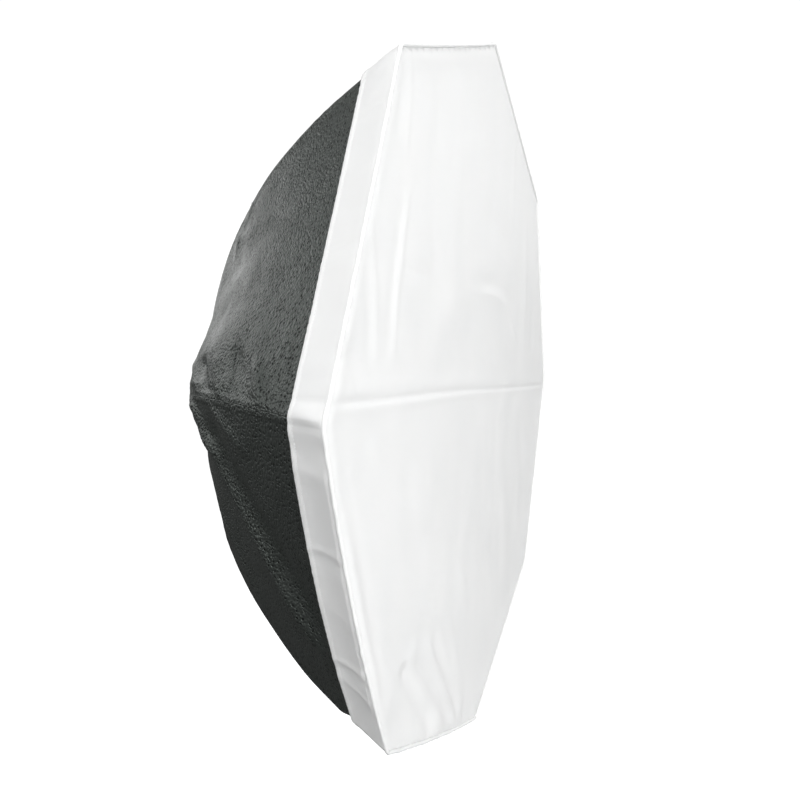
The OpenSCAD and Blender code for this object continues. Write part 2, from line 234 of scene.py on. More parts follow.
# How each gore lies between its rods: (place across, millimetres out). Most hollow evenly, but the
# one whose lower seam is pulled tight swells beside that seam.
GORE_SAG = {
    3: [(0, 0), (0.30, -3.5), (0.55, -0.5), (0.80, 5.0), (0.93, 3.2), (1, 0)],
    4: [(0, 0), (0.12, 1.5), (0.50, -5.5), (1, 0)]}
EVEN_SAG = [(0, 0), (0.5, -7.5), (1, 0)]


def gore_relief(k, across, along, width, run):
    """How far the cloth stands out of the flat between two rods, in metres."""
    left, right = across * width, (1 - across) * width
    middle = 4 * across * (1 - across)
    free = ease(along, 0.085, 0.2)
    out = along_list(GORE_SAG.get(k, EVEN_SAG), across) / 1000 * math.sin(
        math.pi * min(1, along * 1.02)) ** 0.8
    out += SIDE_BOW[k] / 1000 * middle * (1 - ease(along, 0.09, 0.55))
    out += 0.0020 * free * (1 - 0.6 * ease(along, 0.55, 0.9)) * cloth_noise(
        across * width + k, run, 0.11, k)
    out += 0.0007 * free * cloth_noise(across * width + k, run, 0.035, k + 20)
    # puckers beside both seams, stronger towards the neck, where the gore is eased on to the ring
    neck = ease(along, 0.55, 0.95) * (0.3 if k in (3, 4) else 1)
    for near_seam, seed in ((left, 2 * k + 1.5), (right, 2 * k + 2.9)):
        out += free * (0.0008 + 0.0011 * neck) * seam_pucker(near_seam, run, 0.022, 0.021, seed)
    # gathers that run out of the neck binding
    fan = ease(along, 0.80, 1.0)
    out += (0.0008 if k in (3, 4) else 0.0021) * fan * math.sin(
        2 * math.pi * (5.2 * across + 0.4 * k)
        + 2.0 * noise.noise(Vector((across * 3, along * 2, k))))
    return out


# The folds that stand on each gore: height in metres, its two ends, and its half width.
EVEN_FOLDS = [
    [(0.0028, (0.08, 0.78), (0.66, 0.18), 0.035), (-0.0020, (0.08, 0.56), (0.66, 0.13), 0.05)],
    [(0.0028, (0.93, 0.82), (0.40, 0.22), 0.035), (-0.0020, (0.93, 0.60), (0.40, 0.17), 0.05)]]
GORE_FOLDS = {
    2: [(0.0026, (0.95, 0.80), (0.45, 0.25), 0.035), (-0.0022, (0.10, 0.66), (0.60, 0.22), 0.050)],
    # short folds drawn to the seam below, and a long soft hollow
    3: [(0.0032, (1.06, 0.50), (0.78, 0.68), 0.026), (-0.0040, (1.06, 0.40), (0.80, 0.56), 0.026),
        (0.0030, (1.06, 0.32), (0.82, 0.42), 0.020), (-0.0042, (1.06, 0.22), (0.80, 0.32), 0.026),
        (0.0028, (1.06, 0.15), (0.84, 0.22), 0.016), (0.0022, (0.10, 0.62), (0.32, 0.30), 0.030),
        (-0.0022, (0.16, 0.74), (0.42, 0.42), 0.060), (0.0018, (0.0, 0.46), (0.22, 0.58), 0.022)],
    # a fold from the middle of one seam to the far front corner, and shorter ones beside it
    4: [(0.0072, (-0.10, 0.72), (0.84, 0.05), 0.030),
        (-0.0040, (-0.08, 0.60), (0.78, -0.01), 0.050),
        (0.0024, (0.02, 0.98), (0.30, 0.52), 0.026), (-0.0016, (0.06, 0.98), (0.36, 0.56), 0.030),
        (0.0026, (0.0, 0.86), (0.26, 0.42), 0.020), (-0.0020, (0.0, 0.76), (0.20, 0.44), 0.022),
        (0.0030, (0.0, 0.44), (0.16, 0.24), 0.020), (0.0026, (0.55, 0.9), (0.95, 0.35), 0.035)],
    5: [(0.0034, (0.04, 0.75), (0.72, 0.12), 0.030), (-0.0020, (0.9, 0.8), (0.4, 0.2), 0.040)]}


def stress(k, across, along):
    return sum(high * crease(across, along, a, b, width)
               for high, a, b, width in GORE_FOLDS.get(k, EVEN_FOLDS[k % 2]))


def on_gore(k, across, along, lift=SHELL_LIFT):
    angle = shell_front + (neck_edge - shell_front) * along
    left, right = ridge(k, along, lift, angle), ridge(k + 1, along, lift, angle)
    width = (right - left).length
    run = along * (ROD_BEND + lift) * (neck_edge - shell_front)
    place = left.lerp(right, across)
    sideways = (right - left).normalized()
    turn = math.radians(45 * k + 22.5)
    back = Vector((-math.cos(turn) * math.sin(angle), math.cos(angle),
                   -math.sin(turn) * math.sin(angle)))
    normal = back.cross(sideways).normalized()
    if normal.dot(Vector((math.cos(turn), 0, math.sin(turn)))) < 0:
        normal = -normal
    relief = gore_relief(k, across, along, width, run)
    relief += stress(k, across, along) * ease(along, 0.085, 0.16)
    to_seam = min(across, 1 - across) * width
    # the rod-tip pockets lie under the front corners, and the baffle's tabs halfway up the seams
    pocket = max(1 - ease(along, 0.20, 0.40), math.exp(-((along - 0.49) / 0.06) ** 2))
    if relief > 0:
        relief *= ease(to_seam, 0.0, 0.012)
    else:
        relief *= ease(to_seam, 0.008 + 0.012 * pocket, 0.026 + 0.034 * pocket)
    # the two gores roll up a little beside their seam, and the stitches sink between them
    relief += 0.0009 * math.exp(-((to_seam - 0.0045) / 0.0028) ** 2)
    return place + normal * relief, width, run


ACROSS_STEPS, ALONG_STEPS = 96, 132


def gore_mesh(k):
    bm = bmesh.new()
    bmesh.ops.create_grid(bm, x_segments=ACROSS_STEPS, y_segments=ALONG_STEPS, size=0.5)
    uv = bm.loops.layers.uv.new("cloth")
    where = {}
    for v in bm.verts:
        s, t = v.co.x + 0.5, v.co.y + 0.5
        s -= 0.62 * math.sin(2 * math.pi * s) / (2 * math.pi)      # more columns beside the seams
        place, width, run = on_gore(k, s, t)
        where[v] = ((s - 0.5) * width + 0.4 * k, run)
        v.co = place
    for face in bm.faces:
        for loop in face.loops:
            loop[uv].uv = where[loop.vert]
    bmesh.ops.recalc_face_normals(bm, faces=bm.faces)
    middle = Vector((0, -0.25, 0))
    face = min(bm.faces, key=lambda f: (f.calc_center_median() - on_gore(k, 0.5, 0.5)[0]).length)
    if face.normal.dot(face.calc_center_median() - middle) < 0:
        bmesh.ops.reverse_faces(bm, faces=bm.faces)
    return bm


def node_material(name, colour, roughness):
    """A material with its principled shader, and a way to add and wire nodes."""
    material = bpy.data.materials.new(name)
    material.use_nodes = True
    tree = material.node_tree
    shader = tree.nodes["Principled BSDF"]
    shader.inputs["Base Color"].default_value = (*colour, 1)
    shader.inputs["Roughness"].default_value = roughness
    material.diffuse_color = (*colour, 1)

    def add(kind, inputs=None, **settings):
        node = tree.nodes.new("ShaderNode" + kind)
        for key, value in settings.items():
            setattr(node, key, value)
        for key, value in (inputs or {}).items():
            if hasattr(value, "outputs"):
                value = value.outputs[0]
            if isinstance(value, bpy.types.NodeSocket):
                tree.links.new(value, node.inputs[key])
            else:
                node.inputs[key].default_value = value
        return node

    def wire(source, socket):
        tree.links.new(source.outputs[0] if hasattr(source, "outputs") else source,
                       shader.inputs[socket])

    return material, shader, add, wire

coating, shader, add, wire = node_material("pebbled_black_coating", (0.020, 0.022, 0.021), 0.40)
cloth_uv = add("UVMap", uv_map="cloth")
drift = add("TexNoise", {"Vector": cloth_uv, "Scale": 26.0, "Detail": 3.0})
stray = add("VectorMath", {0: cloth_uv, 1: add("VectorMath", {
    0: add("TexNoise", {"Vector": cloth_uv, "Scale": 210.0}).outputs["Color"],
    1: (0.0016, 0.0016, 0.0016)}, operation="MULTIPLY")}, operation="ADD")
pebble = add("TexVoronoi", {"Vector": stray, "Scale": 330.0, "Randomness": 0.9},
             feature="SMOOTH_F1")
pebble.inputs["Smoothness"].default_value = 0.35
pit = add("TexVoronoi", {"Vector": stray, "Scale": 235.0, "Randomness": 1.0})
pit_shape = add("MapRange", {0: pit.outputs["Distance"], 1: 0.18, 2: 0.42, 3: 0.0, 4: 1.0})
grain = add("TexNoise", {"Vector": cloth_uv, "Scale": 1500.0, "Detail": 2.0})
press = add("TexNoise", {"Vector": cloth_uv, "Scale": 9.0, "Detail": 2.0})
height = add("Math", {0: pebble.outputs["Distance"], 1: -0.8}, operation="MULTIPLY")
height = add("Math", {0: height, 1: add("Math", {0: pit_shape, 1: 0.75}, operation="MULTIPLY")},
             operation="ADD")
pressed = add("MapRange", {0: press, 1: 0.35, 2: 0.62, 3: 0.45, 4: 1.15})
height = add("Math", {0: height, 1: pressed}, operation="MULTIPLY")
height = add("Math", {0: height, 1: add("Math", {0: grain, 1: 0.06}, operation="MULTIPLY")},
             operation="ADD")
wire(add("Bump", {"Height": height, "Strength": 1.0, "Distance": 0.0017}), "Normal")
# The pits are painted darker than the pebbles round them, as painted shade in the pits. Below, the
# pits are also given less specular reflection.
painted_pit_shade = add("ValToRGB", {0: pit_shape})
painted_pit_shade.color_ramp.elements[0].color = (0.004, 0.0045, 0.004, 1)
painted_pit_shade.color_ramp.elements[1].color = (0.023, 0.026, 0.024, 1)
# Lighter, rougher patches of wear are mixed over the colour that carries the painted pit shade.
wear_and_pit_shade = add("MixRGB", {0: add("MapRange", {0: drift, 1: 0.45, 2: 0.75, 3: 0.0, 4: 0.5}), 1: painted_pit_shade,
                      2: (0.034, 0.036, 0.035, 1)})
wire(wear_and_pit_shade, "Base Color")
wire(add("MapRange", {0: drift, 1: 0.3, 2: 0.7, 3: 0.36, 4: 0.47}), "Roughness")
wire(add("MapRange", {0: pit_shape, 1: 0.0, 2: 1.0, 3: 0.30, 4: 0.86}), "Specular IOR Level")
shader.inputs["Specular Tint"].default_value = (0.90, 1.0, 0.93, 1)

lining, shader, add, wire = node_material("silver_lining", (0.70, 0.71, 0.72), 0.36)
cloth_uv = add("UVMap", uv_map="cloth")
warp = add("TexWave", {"Vector": cloth_uv, "Scale": 520.0, "Distortion": 1.2, "Detail": 1.0},
           bands_direction="X")
weft = add("TexWave", {"Vector": cloth_uv, "Scale": 520.0, "Distortion": 1.2, "Detail": 1.0},
           bands_direction="Y")
foil = add("TexNoise", {"Vector": cloth_uv, "Scale": 60.0, "Detail": 5.0})
weave = add("Math", {0: warp, 1: weft}, operation="ADD")
wire(add("Bump", {"Height": add("Math", {0: weave, 1: foil}, operation="ADD"), "Strength": 0.4,
                  "Distance": 0.0003}), "Normal")
wire(add("MapRange", {0: foil, 1: 0.3, 2: 0.7, 3: 0.28, 4: 0.46}), "Roughness")
wire(add("MixRGB", {0: foil, 1: (0.62, 0.63, 0.64, 1), 2: (0.80, 0.81, 0.82, 1)}), "Base Color")
shader.inputs["Metallic"].default_value = 0.85


def dress(piece, material, body, nodes=()):
    """Gives a piece its material, its body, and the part's nodes that it stands for."""
    piece.data.materials.append(material)
    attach(piece, body)
    if nodes:
        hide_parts(*nodes)
    return piece


for k in range(8):
    gore = finish_mesh(gore_mesh(k), f"gore_{k + 1}")
    wall = gore.modifiers.new("wall", "SOLIDIFY")
    wall.thickness = SHELL_CLOTH
    wall.offset = -1
    wall.material_offset = 1
    wall.material_offset_rim = 0
    dress(gore, coating, "softbox", [f"shell_panel_{k + 1}"])
    gore.data.materials.append(lining)

# ---------------------------------------------------------------------------------------------
# Seam tapes: grey twill folded over each rod inside the shell, where two gores are sewn together.
# They hide the seam allowance and keep the rod off the stitches. A row of thread runs down each
# side. They follow the shell's own bow over the rods.
# ---------------------------------------------------------------------------------------------
TAPE_LIFT = 0.0037
TAPE_CLOTH = 0.0007
TAPE_HALF = 0.009
TAPE_ALONG = (0.082, 0.995)


def cloth_strip(columns, rows, place, loop=False):
    """A strip of cloth: place(across, along) gives each point and its two measures on the flat."""
    bm = bmesh.new()
    bmesh.ops.create_grid(bm, x_segments=columns, y_segments=rows, size=0.5)
    uv = bm.loops.layers.uv.new("cloth")
    where = {}
    for v in bm.verts:
        point, flat_x, flat_y = place(v.co.x + 0.5, v.co.y + 0.5)
        where[v] = (flat_x, flat_y)
        v.co = point
    for face in bm.faces:
        for loop_of in face.loops:
            loop_of[uv].uv = where[loop_of.vert]
    if loop:
        bmesh.ops.remove_doubles(bm, verts=bm.verts, dist=1e-6)
    bmesh.ops.recalc_face_normals(bm, faces=bm.faces)
    return bm


def face_out(bm, outside):
    """Turns an open sheet's faces to the side that outside(point) points to."""
    votes = sum(1 if f.normal.dot(outside(f.calc_center_median())) > 0 else -1 for f in bm.faces)
    if votes < 0:
        bmesh.ops.reverse_faces(bm, faces=bm.faces)
    return bm


def from_axis(point):
    return Vector((point.x, 0.1 * math.hypot(point.x, point.z), point.z))


def cloth_piece(bm, name, thickness, material, nodes=(), offset=-1):
    piece = finish_mesh(bm, name)
    wall = piece.modifiers.new("wall", "SOLIDIFY")
    wall.thickness = thickness
    wall.offset = offset
    return dress(piece, material, "softbox", nodes)


def woven(name, dark, light, thread, roughness, depth=0.00025, strength=0.5, sheen=0.0):
    """Cloth of crossing threads, with its colour drifting a little and small specks of lint."""
    material, shader, add, wire = node_material(name, dark, roughness)
    cloth_uv = add("UVMap", uv_map="cloth")
    sway = add("TexNoise", {"Vector": cloth_uv, "Scale": 90.0, "Detail": 4.0})
    warp = add("TexWave", {"Vector": cloth_uv, "Scale": 0.314 / thread, "Distortion": 0.7,
                           "Detail": 1.0}, bands_direction="X")
    weft = add("TexWave", {"Vector": cloth_uv, "Scale": 0.314 / thread, "Distortion": 0.7,
                           "Detail": 1.0}, bands_direction="Y")
    weave = add("Math", {0: warp, 1: weft}, operation="ADD")
    fuzz = add("TexNoise", {"Vector": cloth_uv, "Scale": 1.2 / thread, "Detail": 2.0})
    height = add("Math", {0: weave, 1: fuzz}, operation="ADD")
    wire(add("Bump", {"Height": height, "Strength": strength, "Distance": depth}), "Normal")
    tint = add("Math", {0: add("Math", {0: weave, 1: 0.25}, operation="MULTIPLY"),
                        1: add("Math", {0: sway, 1: 0.6}, operation="MULTIPLY")}, operation="ADD")
    wire(add("MixRGB", {0: tint, 1: (*dark, 1), 2: (*light, 1)}), "Base Color")
    wire(add("MapRange", {0: sway, 1: 0.3, 2: 0.7, 3: roughness - 0.06, 4: roughness + 0.06}),
         "Roughness")
    if sheen:
        shader.inputs["Sheen Weight"].default_value = sheen
        shader.inputs["Sheen Roughness"].default_value = 0.4
    return material


tape_twill = woven("grey_twill_tape", (0.13, 0.13, 0.135), (0.24, 0.24, 0.25), 0.0009, 0.75,
                   sheen=0.1)
black_webbing = woven("black_webbing", (0.010, 0.010, 0.011), (0.030, 0.030, 0.032), 0.0012, 0.7,
                      depth=0.0004, strength=0.8, sheen=0.15)


def inside_ridge(k, across, along, lift, half):
    """A point of a strip that is folded over rod k, half metres to each side of it."""
    angle = shell_front + (neck_edge - shell_front) * along
    side = 2 * across - 1
    place = ridge(k, along, lift, angle)
    other = ridge(k + (1 if side > 0 else -1), along, lift, angle)
    step = (other - place).normalized() * abs(side) * half
    # the fold is round, as the tape is too stiff to crease
    rounding = 0.0012 * math.exp(-(side * half / 0.0022) ** 2)
    return place + step - arc_direction(k, angle) * rounding


def tape_place(k):
    def place(across, along):
        t = TAPE_ALONG[0] + (TAPE_ALONG[1] - TAPE_ALONG[0]) * along
        wave = 0.00022 * math.sin(t * 260 + k) * abs(2 * across - 1)
        point = inside_ridge(k, across, t, TAPE_LIFT - 0.0001 - wave, TAPE_HALF)
        return point, (across - 0.5) * 2 * TAPE_HALF, t * 0.545
    return place


for k in range(8):
    bm = face_out(cloth_strip(12, 110, tape_place(k)), from_axis)
    cloth_piece(bm, f"seam_tape_{k + 1}", TAPE_CLOTH, tape_twill)
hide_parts("seam_tapes")


def sewn_rows(name, rows, colour, pitch=0.0032, thread=0.00032):
    """Rows of lockstitch. Each row is a list of points with the direction out of the cloth."""
    bm = bmesh.new()
    for row in rows:
        left = 0.0
        for (a, out_a), (b, out_b) in zip(row, row[1:]):
            span = (b - a).length
            while left < span:
                point = a.lerp(b, left / span)
                out = out_a.lerp(out_b, left / span).normalized()
                run = (b - a).normalized()
                side = run.cross(out).normalized()
                turn = Matrix((run * pitch * 0.42, side * thread, out * thread)).transposed()
                bmesh.ops.create_icosphere(bm, subdivisions=1, radius=1, matrix=(
                    Matrix.Translation(point + out * thread * 0.25) @ turn.to_4x4()))
                left += pitch
            left -= span
    bmesh.ops.recalc_face_normals(bm, faces=bm.faces)
    return dress(finish_mesh(bm, name), colour, "softbox")


def sewing_thread(name, colour):
    material, _, add, wire = node_material(name, colour, 0.45)
    spot = add("TexCoord")
    twist = add("TexWave", {"Vector": spot.outputs["Object"], "Scale": 900.0, "Distortion": 2.0},
                bands_direction="DIAGONAL")
    wire(add("Bump", {"Height": twist, "Strength": 0.5, "Distance": 0.0001}), "Normal")
    wire(add("MixRGB", {0: twist, 1: (*[c * 0.7 for c in colour], 1), 2: (*colour, 1)}),
         "Base Color")
    return material


grey_thread = sewing_thread("grey_thread", (0.30, 0.30, 0.31))
black_thread = sewing_thread("black_thread", (0.022, 0.022, 0.024))
white_thread = sewing_thread("white_thread", (0.86, 0.86, 0.86))

rows = []
for k in range(8):
    for side in (0.10, 0.90):
        row = []
        for step in range(60):
            along = TAPE_ALONG[0] + 0.004 + (TAPE_ALONG[1] - TAPE_ALONG[0] - 0.008) * step / 59
            angle = shell_front + (neck_edge - shell_front) * along
            row.append((inside_ridge(k, side, along, TAPE_LIFT - TAPE_CLOTH - 0.0001, TAPE_HALF),
                        -arc_direction(k, angle)))
        rows.append(row)
sewn_rows("seam_tape_stitching", rows, grey_thread, pitch=0.0060, thread=0.0004)

# ---------------------------------------------------------------------------------------------
# Neck binding: black webbing folded over the raw edge of the gathered gores, with two rows of
# stitching. It rises and falls with the gathers that it holds.
# ---------------------------------------------------------------------------------------------
BINDING_CLOTH = 0.0005
BINDING_START = 0.9716


def neck_place(across, along):
    k = min(7, int(across * 8))
    s = across * 8 - k
    fold = [(0.0, BINDING_START, 0.0010), (0.12, BINDING_START + 0.002, 0.0013),
            (0.55, 0.996, 0.0013), (0.68, 1.0015, 0.0004), (0.80, 0.997, -0.0012),
            (1.0, 0.985, -0.0014)]
    t = along_list([(a, b) for a, b, c in fold], along)
    lift = along_list([(a, c) for a, b, c in fold], along)
    point = on_gore(k, s, min(t, 1.0), SHELL_LIFT + lift)[0]
    if t > 1.0:
        point = point + Vector((0, 0.0007, 0))
    return point, across * 0.86, along * 0.034


bm = face_out(cloth_strip(240, 14, neck_place, loop=True), from_axis)
cloth_piece(bm, "neck_binding_webbing", BINDING_CLOTH, black_webbing, ["neck_binding"])
rows = []
for t in (BINDING_START + 0.0035, 0.994):
    row = []
    for step in range(241):
        k = min(7, int(step / 30))
        point = on_gore(k, step / 30 - k, t, SHELL_LIFT + 0.0013)[0]
        row.append((point, from_axis(point).normalized()))
    rows.append(row)
sewn_rows("neck_binding_stitching", rows, black_thread)

# ---------------------------------------------------------------------------------------------
# Touch fastener: black loop tape sewn round the shell's mouth, and white hook tape inside the
# diffuser's skirt. Both are hidden under the skirt, and seen from behind only at its edge.
# ---------------------------------------------------------------------------------------------
CORNER_R = 0.475
FRONT_Y = -0.428
SKIRT_LIFT = 0.0090
LOOP_LIFT, HOOK_LIFT, FASTENER_CLOTH = 0.0060, 0.0070, 0.0009
FASTENER_START, FASTENER_WIDE = 0.0085, 0.025
SIDE_LENGTH, GIRTH = 0.364, 2.9                 # one side of the front octagon, and all round


def octagon_point(r, k, s):
    """A point on the side between corners k and k + 1 of an octagon with corners at radius r."""
    a, b = math.radians(45 * k), math.radians(45 * (k + 1))
    return Vector((r * math.cos(a), 0, r * math.sin(a))).lerp(
        Vector((r * math.cos(b), 0, r * math.sin(b))), s)


def side_bow(k, s):
    return gore_out(k)[0] * SIDE_BOW[k] / 1000 * 4 * s * (1 - s)


def rim_angle(lift, y):
    return math.asin((y - ARC_Y) / (ROD_BEND + lift))


def rim_point(place, lift, run, soften=0.004):
    """A point on a layer round the mouth: place runs from 0 to 8 corners, and run is the distance
    back from the front edge. Corners are rounded over the rods' tips, and the sides bow."""
    angle = rim_angle(lift, FRONT_Y + 0.0036) + run / (ROD_BEND + lift)
    total = Vector((0, 0, 0))
    for shift in (-1.5, -0.5, 0.5, 1.5):
        at = (place + shift * soften / SIDE_LENGTH) % 8
        k = int(at) % 8
        s = at - int(at)
        point = rod_plane(math.radians(45 * k), lift, angle).lerp(
            rod_plane(math.radians(45 * (k + 1)), lift, angle), s)
        total += point + side_bow(k, s)
    return total / 4


def rim_tape(lift):
    def place(across, along):
        at = across * 8
        return (rim_point(at, lift, FASTENER_START + FASTENER_WIDE * along), across * GIRTH,
                along * FASTENER_WIDE)
    return place


hook_loop, shader, add, wire = node_material("fastener_loop_pile", (0.014, 0.014, 0.015), 0.85)
spot = add("UVMap", uv_map="cloth")
pile = add("TexVoronoi", {"Vector": spot, "Scale": 1400.0})
tuft = add("TexNoise", {"Vector": spot, "Scale": 500.0, "Detail": 3.0})
wire(add("Bump", {"Height": add("Math", {0: pile, 1: tuft}, operation="ADD"), "Strength": 0.9,
                  "Distance": 0.0006}), "Normal")
wire(add("MixRGB", {0: tuft, 1: (0.008, 0.008, 0.009, 1), 2: (0.035, 0.035, 0.037, 1)}),
     "Base Color")
hook_white = woven("fastener_hook_tape", (0.62, 0.62, 0.61), (0.84, 0.84, 0.83), 0.0007, 0.6)
cloth_piece(face_out(cloth_strip(320, 5, rim_tape(LOOP_LIFT), loop=True), from_axis),
            "loop_tape_band", FASTENER_CLOTH, hook_loop, ["loop_tape"])
cloth_piece(face_out(cloth_strip(320, 5, rim_tape(HOOK_LIFT), loop=True), from_axis),
            "hook_tape_band", FASTENER_CLOTH, hook_white, ["hook_tape"])

# ---------------------------------------------------------------------------------------------
# Diffuser skirt: a band of thin white cloth that turns back over the shell's mouth. Its back
# edge is a double hem, its front edge is sewn to the piping, and it puckers between stitches.
# ---------------------------------------------------------------------------------------------
SKIRT_RUN = 0.0455
SKIRT_CLOTH = 0.0005
# Creases across the skirt: place in corners, lean, half width in metres, and height in metres.
SKIRT_CREASES = [
    (3.944, 0.010, 0.0035, -0.0016), (3.86, 0.10, 0.009, 0.0008), (3.56, 0.16, 0.004, -0.0011),
    (3.60, -0.05, 0.012, 0.0010), (3.35, 0.05, 0.006, 0.0009), (3.17, 0.12, 0.004, -0.0008),
    (3.72, -0.12, 0.008, -0.0008), (3.10, 0.10, 0.012, 0.0011), (3.45, -0.10, 0.005, -0.0007),
    (4.055, 0.03, 0.006, -0.0018), (4.12, -0.08, 0.010, 0.0011), (4.33, 0.10, 0.004, 0.0012),
    (4.36, 0.06, 0.006, -0.0010), (4.52, -0.12, 0.010, 0.0009), (4.70, 0.14, 0.004, 0.0016),
    (4.735, 0.10, 0.006, -0.0014), (4.79, -0.10, 0.005, 0.0013), (4.87, 0.05, 0.010, -0.0012),
    (5.12, 0.1, 0.006, -0.0012), (5.3, -0.1, 0.008, 0.0011), (5.62, 0.12, 0.005, -0.0011),
    (5.85, -0.08, 0.009, 0.0010), (6.2, 0.10, 0.007, -0.0010), (6.5, -0.1, 0.010, 0.0010),
    (6.8, 0.06, 0.006, -0.0011), (7.15, -0.08, 0.008, 0.0009), (7.55, 0.1, 0.006, -0.0010),
    (7.85, -0.1, 0.010, 0.0010), (0.22, 0.08, 0.007, -0.0010), (0.56, -0.12, 0.009, 0.0010),
    (0.82, 0.1, 0.005, -0.0010), (1.18, 0.12, 0.008, 0.0010), (1.5, -0.08, 0.006, -0.0011),
    (1.83, 0.06, 0.009, 0.0011), (2.14, -0.1, 0.006, -0.0010), (2.47, 0.1, 0.010, 0.0010),
    (2.78, -0.06, 0.006, -0.0010)]

SKIRT_SIDE, HEM_ROW = 0.362, 0.878             # a side's length, and where the hem is sewn


def skirt_out(at, t):
    """How far the skirt stands off its layer, from its front edge (t 0) to its hem (t 1)."""
    k = int(at) % 8
    s = at - int(at)
    out = 0.0
    for place, lean, width, high in SKIRT_CREASES:
        gap = ((at - place - lean * (t - 0.5) * 0.14 + 4) % 8 - 4) * SKIRT_SIDE
        if abs(gap) < 4 * width:
            out += high * math.exp(-(gap / width) ** 2) * (
                0.35 + 0.65 * math.sin(math.pi * min(1, t * 0.9 + 0.1)))
    # the band hollows between its two sewn edges, more on the side that hangs in shade
    hollow = {3: 0.0004, 4: 0.0030, 5: 0.0018}.get(k, 0.0010)
    span = (4 * s * (1 - s)) ** 0.5
    out += hollow * (0.75 - math.sin(math.pi * t)) * span * ease(t, 0.0, 0.12)
    # pulled round the rods' tips, it stands out in a soft lump just before each corner
    near = min(s, 1 - s) * SKIRT_SIDE
    out += 0.0012 * math.exp(-((near - 0.010) / 0.009) ** 2) * math.sin(math.pi * (0.15 + 0.75 * t))
    if k == 3:       # the corner's lump, held between the packing crease and the corner
        lump = (1 - s) * SKIRT_SIDE
        out += 0.0030 * math.exp(-((lump - 0.004) / 0.010) ** 2) * math.sin(
            math.pi * (0.1 + 0.8 * t))
    if k == 4:       # under it the cloth falls back at once
        out -= 0.0020 * (1 - ease(s * SKIRT_SIDE, 0.012, 0.055)) * ease(
            s * SKIRT_SIDE, 0.0, 0.004) * (
            math.sin(math.pi * (0.1 + 0.8 * t)))
    pucker = 0.00042 * math.sin(2 * math.pi * (at * SKIRT_SIDE / 0.0085
                                              + 1.1 * noise.noise(Vector((at * 9, 0, 5)))))
    pucker *= 0.4 + noise.noise(Vector((at * 6.0, 2.0, 1.0))) ** 2 * 4
    out += pucker * (math.exp(-t / 0.16) + 0.8 * math.exp(-(1 - t) / 0.2))
    out += 0.0006 * noise.noise(Vector((at * 5, t * 1.4, 9.0)))
    hem = ease(t, 0.870, 0.890)
    out += 0.0007 * hem + 0.0004 * math.exp(-((t - 0.985) / 0.02) ** 2)
    out -= 0.0005 * math.exp(-((t - 0.875) / 0.014) ** 2)         # the hem's stitch line
    if out < -0.0003:                                              # the tapes lie under it
        out = -0.0003 - 0.0007 * (1 - math.exp((out + 0.0003) / 0.0007))
    return out


def skirt_place(across, along):
    at = (across * 8) % 8
    point = rim_point(at, SKIRT_LIFT - 0.0004, SKIRT_RUN * along)
    to_corner = min(at - int(at), 1 - at + int(at)) * SKIRT_SIDE
    out = gore_out(int(at) % 8)[0] * skirt_out(at, along) * ease(to_corner, -0.003, 0.004)
    return point + out, across * GIRTH, along * SKIRT_RUN


diffuser_cloth, shader, add, wire = node_material("diffuser_cloth", (0.87, 0.875, 0.87), 0.5)
cloth_uv = add("UVMap", uv_map="cloth")
sway = add("TexNoise", {"Vector": cloth_uv, "Scale": 14.0, "Detail": 5.0})
crumple = add("TexNoise", {"Vector": cloth_uv, "Scale": 55.0, "Detail": 3.0})
warp = add("TexWave", {"Vector": cloth_uv, "Scale": 700.0, "Distortion": 0.6}, bands_direction="X")
weft = add("TexWave", {"Vector": cloth_uv, "Scale": 700.0, "Distortion": 0.6}, bands_direction="Y")
weave = add("Math", {0: warp, 1: weft}, operation="ADD")
height = add("Math", {0: add("Math", {0: weave, 1: 0.12}, operation="MULTIPLY"),
                      1: add("Math", {0: crumple, 1: 1.0}, operation="MULTIPLY")}, operation="ADD")
wire(add("Bump", {"Height": height, "Strength": 0.35, "Distance": 0.0009}), "Normal")
wire(add("MixRGB", {0: sway, 1: (0.85, 0.86, 0.86, 1), 2: (0.89, 0.89, 0.885, 1)}), "Base Color")
wire(add("MapRange", {0: sway, 1: 0.3, 2: 0.7, 3: 0.42, 4: 0.55}), "Roughness")
shader.inputs["Sheen Weight"].default_value = 0.15

bm = face_out(cloth_strip(960, 34, skirt_place, loop=True), from_axis)
skirt = cloth_piece(bm, "skirt_band", SKIRT_CLOTH, diffuser_cloth, ["diffuser_skirt"])
row = []
for step in range(961):
    at = (step / 120) % 8
    point = skirt_place(at / 8, HEM_ROW)[0]
    row.append((point, from_axis(point).normalized()))
sewn_rows("skirt_stitching", [row], white_thread)

# ---------------------------------------------------------------------------------------------
# Piping: a cord wrapped in a bias strip of white cloth, caught in the seam between skirt and face.
# It makes the octagon's crisp bright edge, with small kinks where the stitching pulls.
# ---------------------------------------------------------------------------------------------
PIPING_R, PIPING_IN = 0.0021, 0.0018         # its radius, and how far in from the corners it lies


def piping_place(across, along):
    at = (across * 8) % 8
    centre = Vector((0, 0, 0))
    for shift in (-1, 0, 1):                        # the mean of three points rounds the corners
        place = (at + shift * 0.0045 / SIDE_LENGTH) % 8
        k = int(place) % 8
        centre += octagon_point(CORNER_R - PIPING_IN, k, place - int(place)) + side_bow(
            k, place - int(place))
    centre /= 3
    wave = 0.0007 * noise.noise(Vector((at * 14, 0, 2)))
    wave += 0.0004 * noise.noise(Vector((at * 50, 0, 4)))
    out = gore_out(int(at) % 8)[0]
    centre += out * (wave - 0.0004)
    centre.y = FRONT_Y + PIPING_IN + 0.0004 * noise.noise(Vector((at * 22, 5, 2)))
    round_way = 2 * math.pi * along
    r = PIPING_R * (1 + 0.06 * math.sin(at * 364 / 3.1)
                    + 0.05 * noise.noise(Vector((at * 90, 1, 1))))
    return (centre + out * r * math.cos(round_way) + Vector((0, 1, 0)) * r * math.sin(round_way),
            across * GIRTH, along * 0.0107)


piping = finish_mesh(cloth_strip(900, 12, piping_place, loop=True), "piping_cord")
dress(piping, diffuser_cloth, "softbox", ["diffuser_piping"])

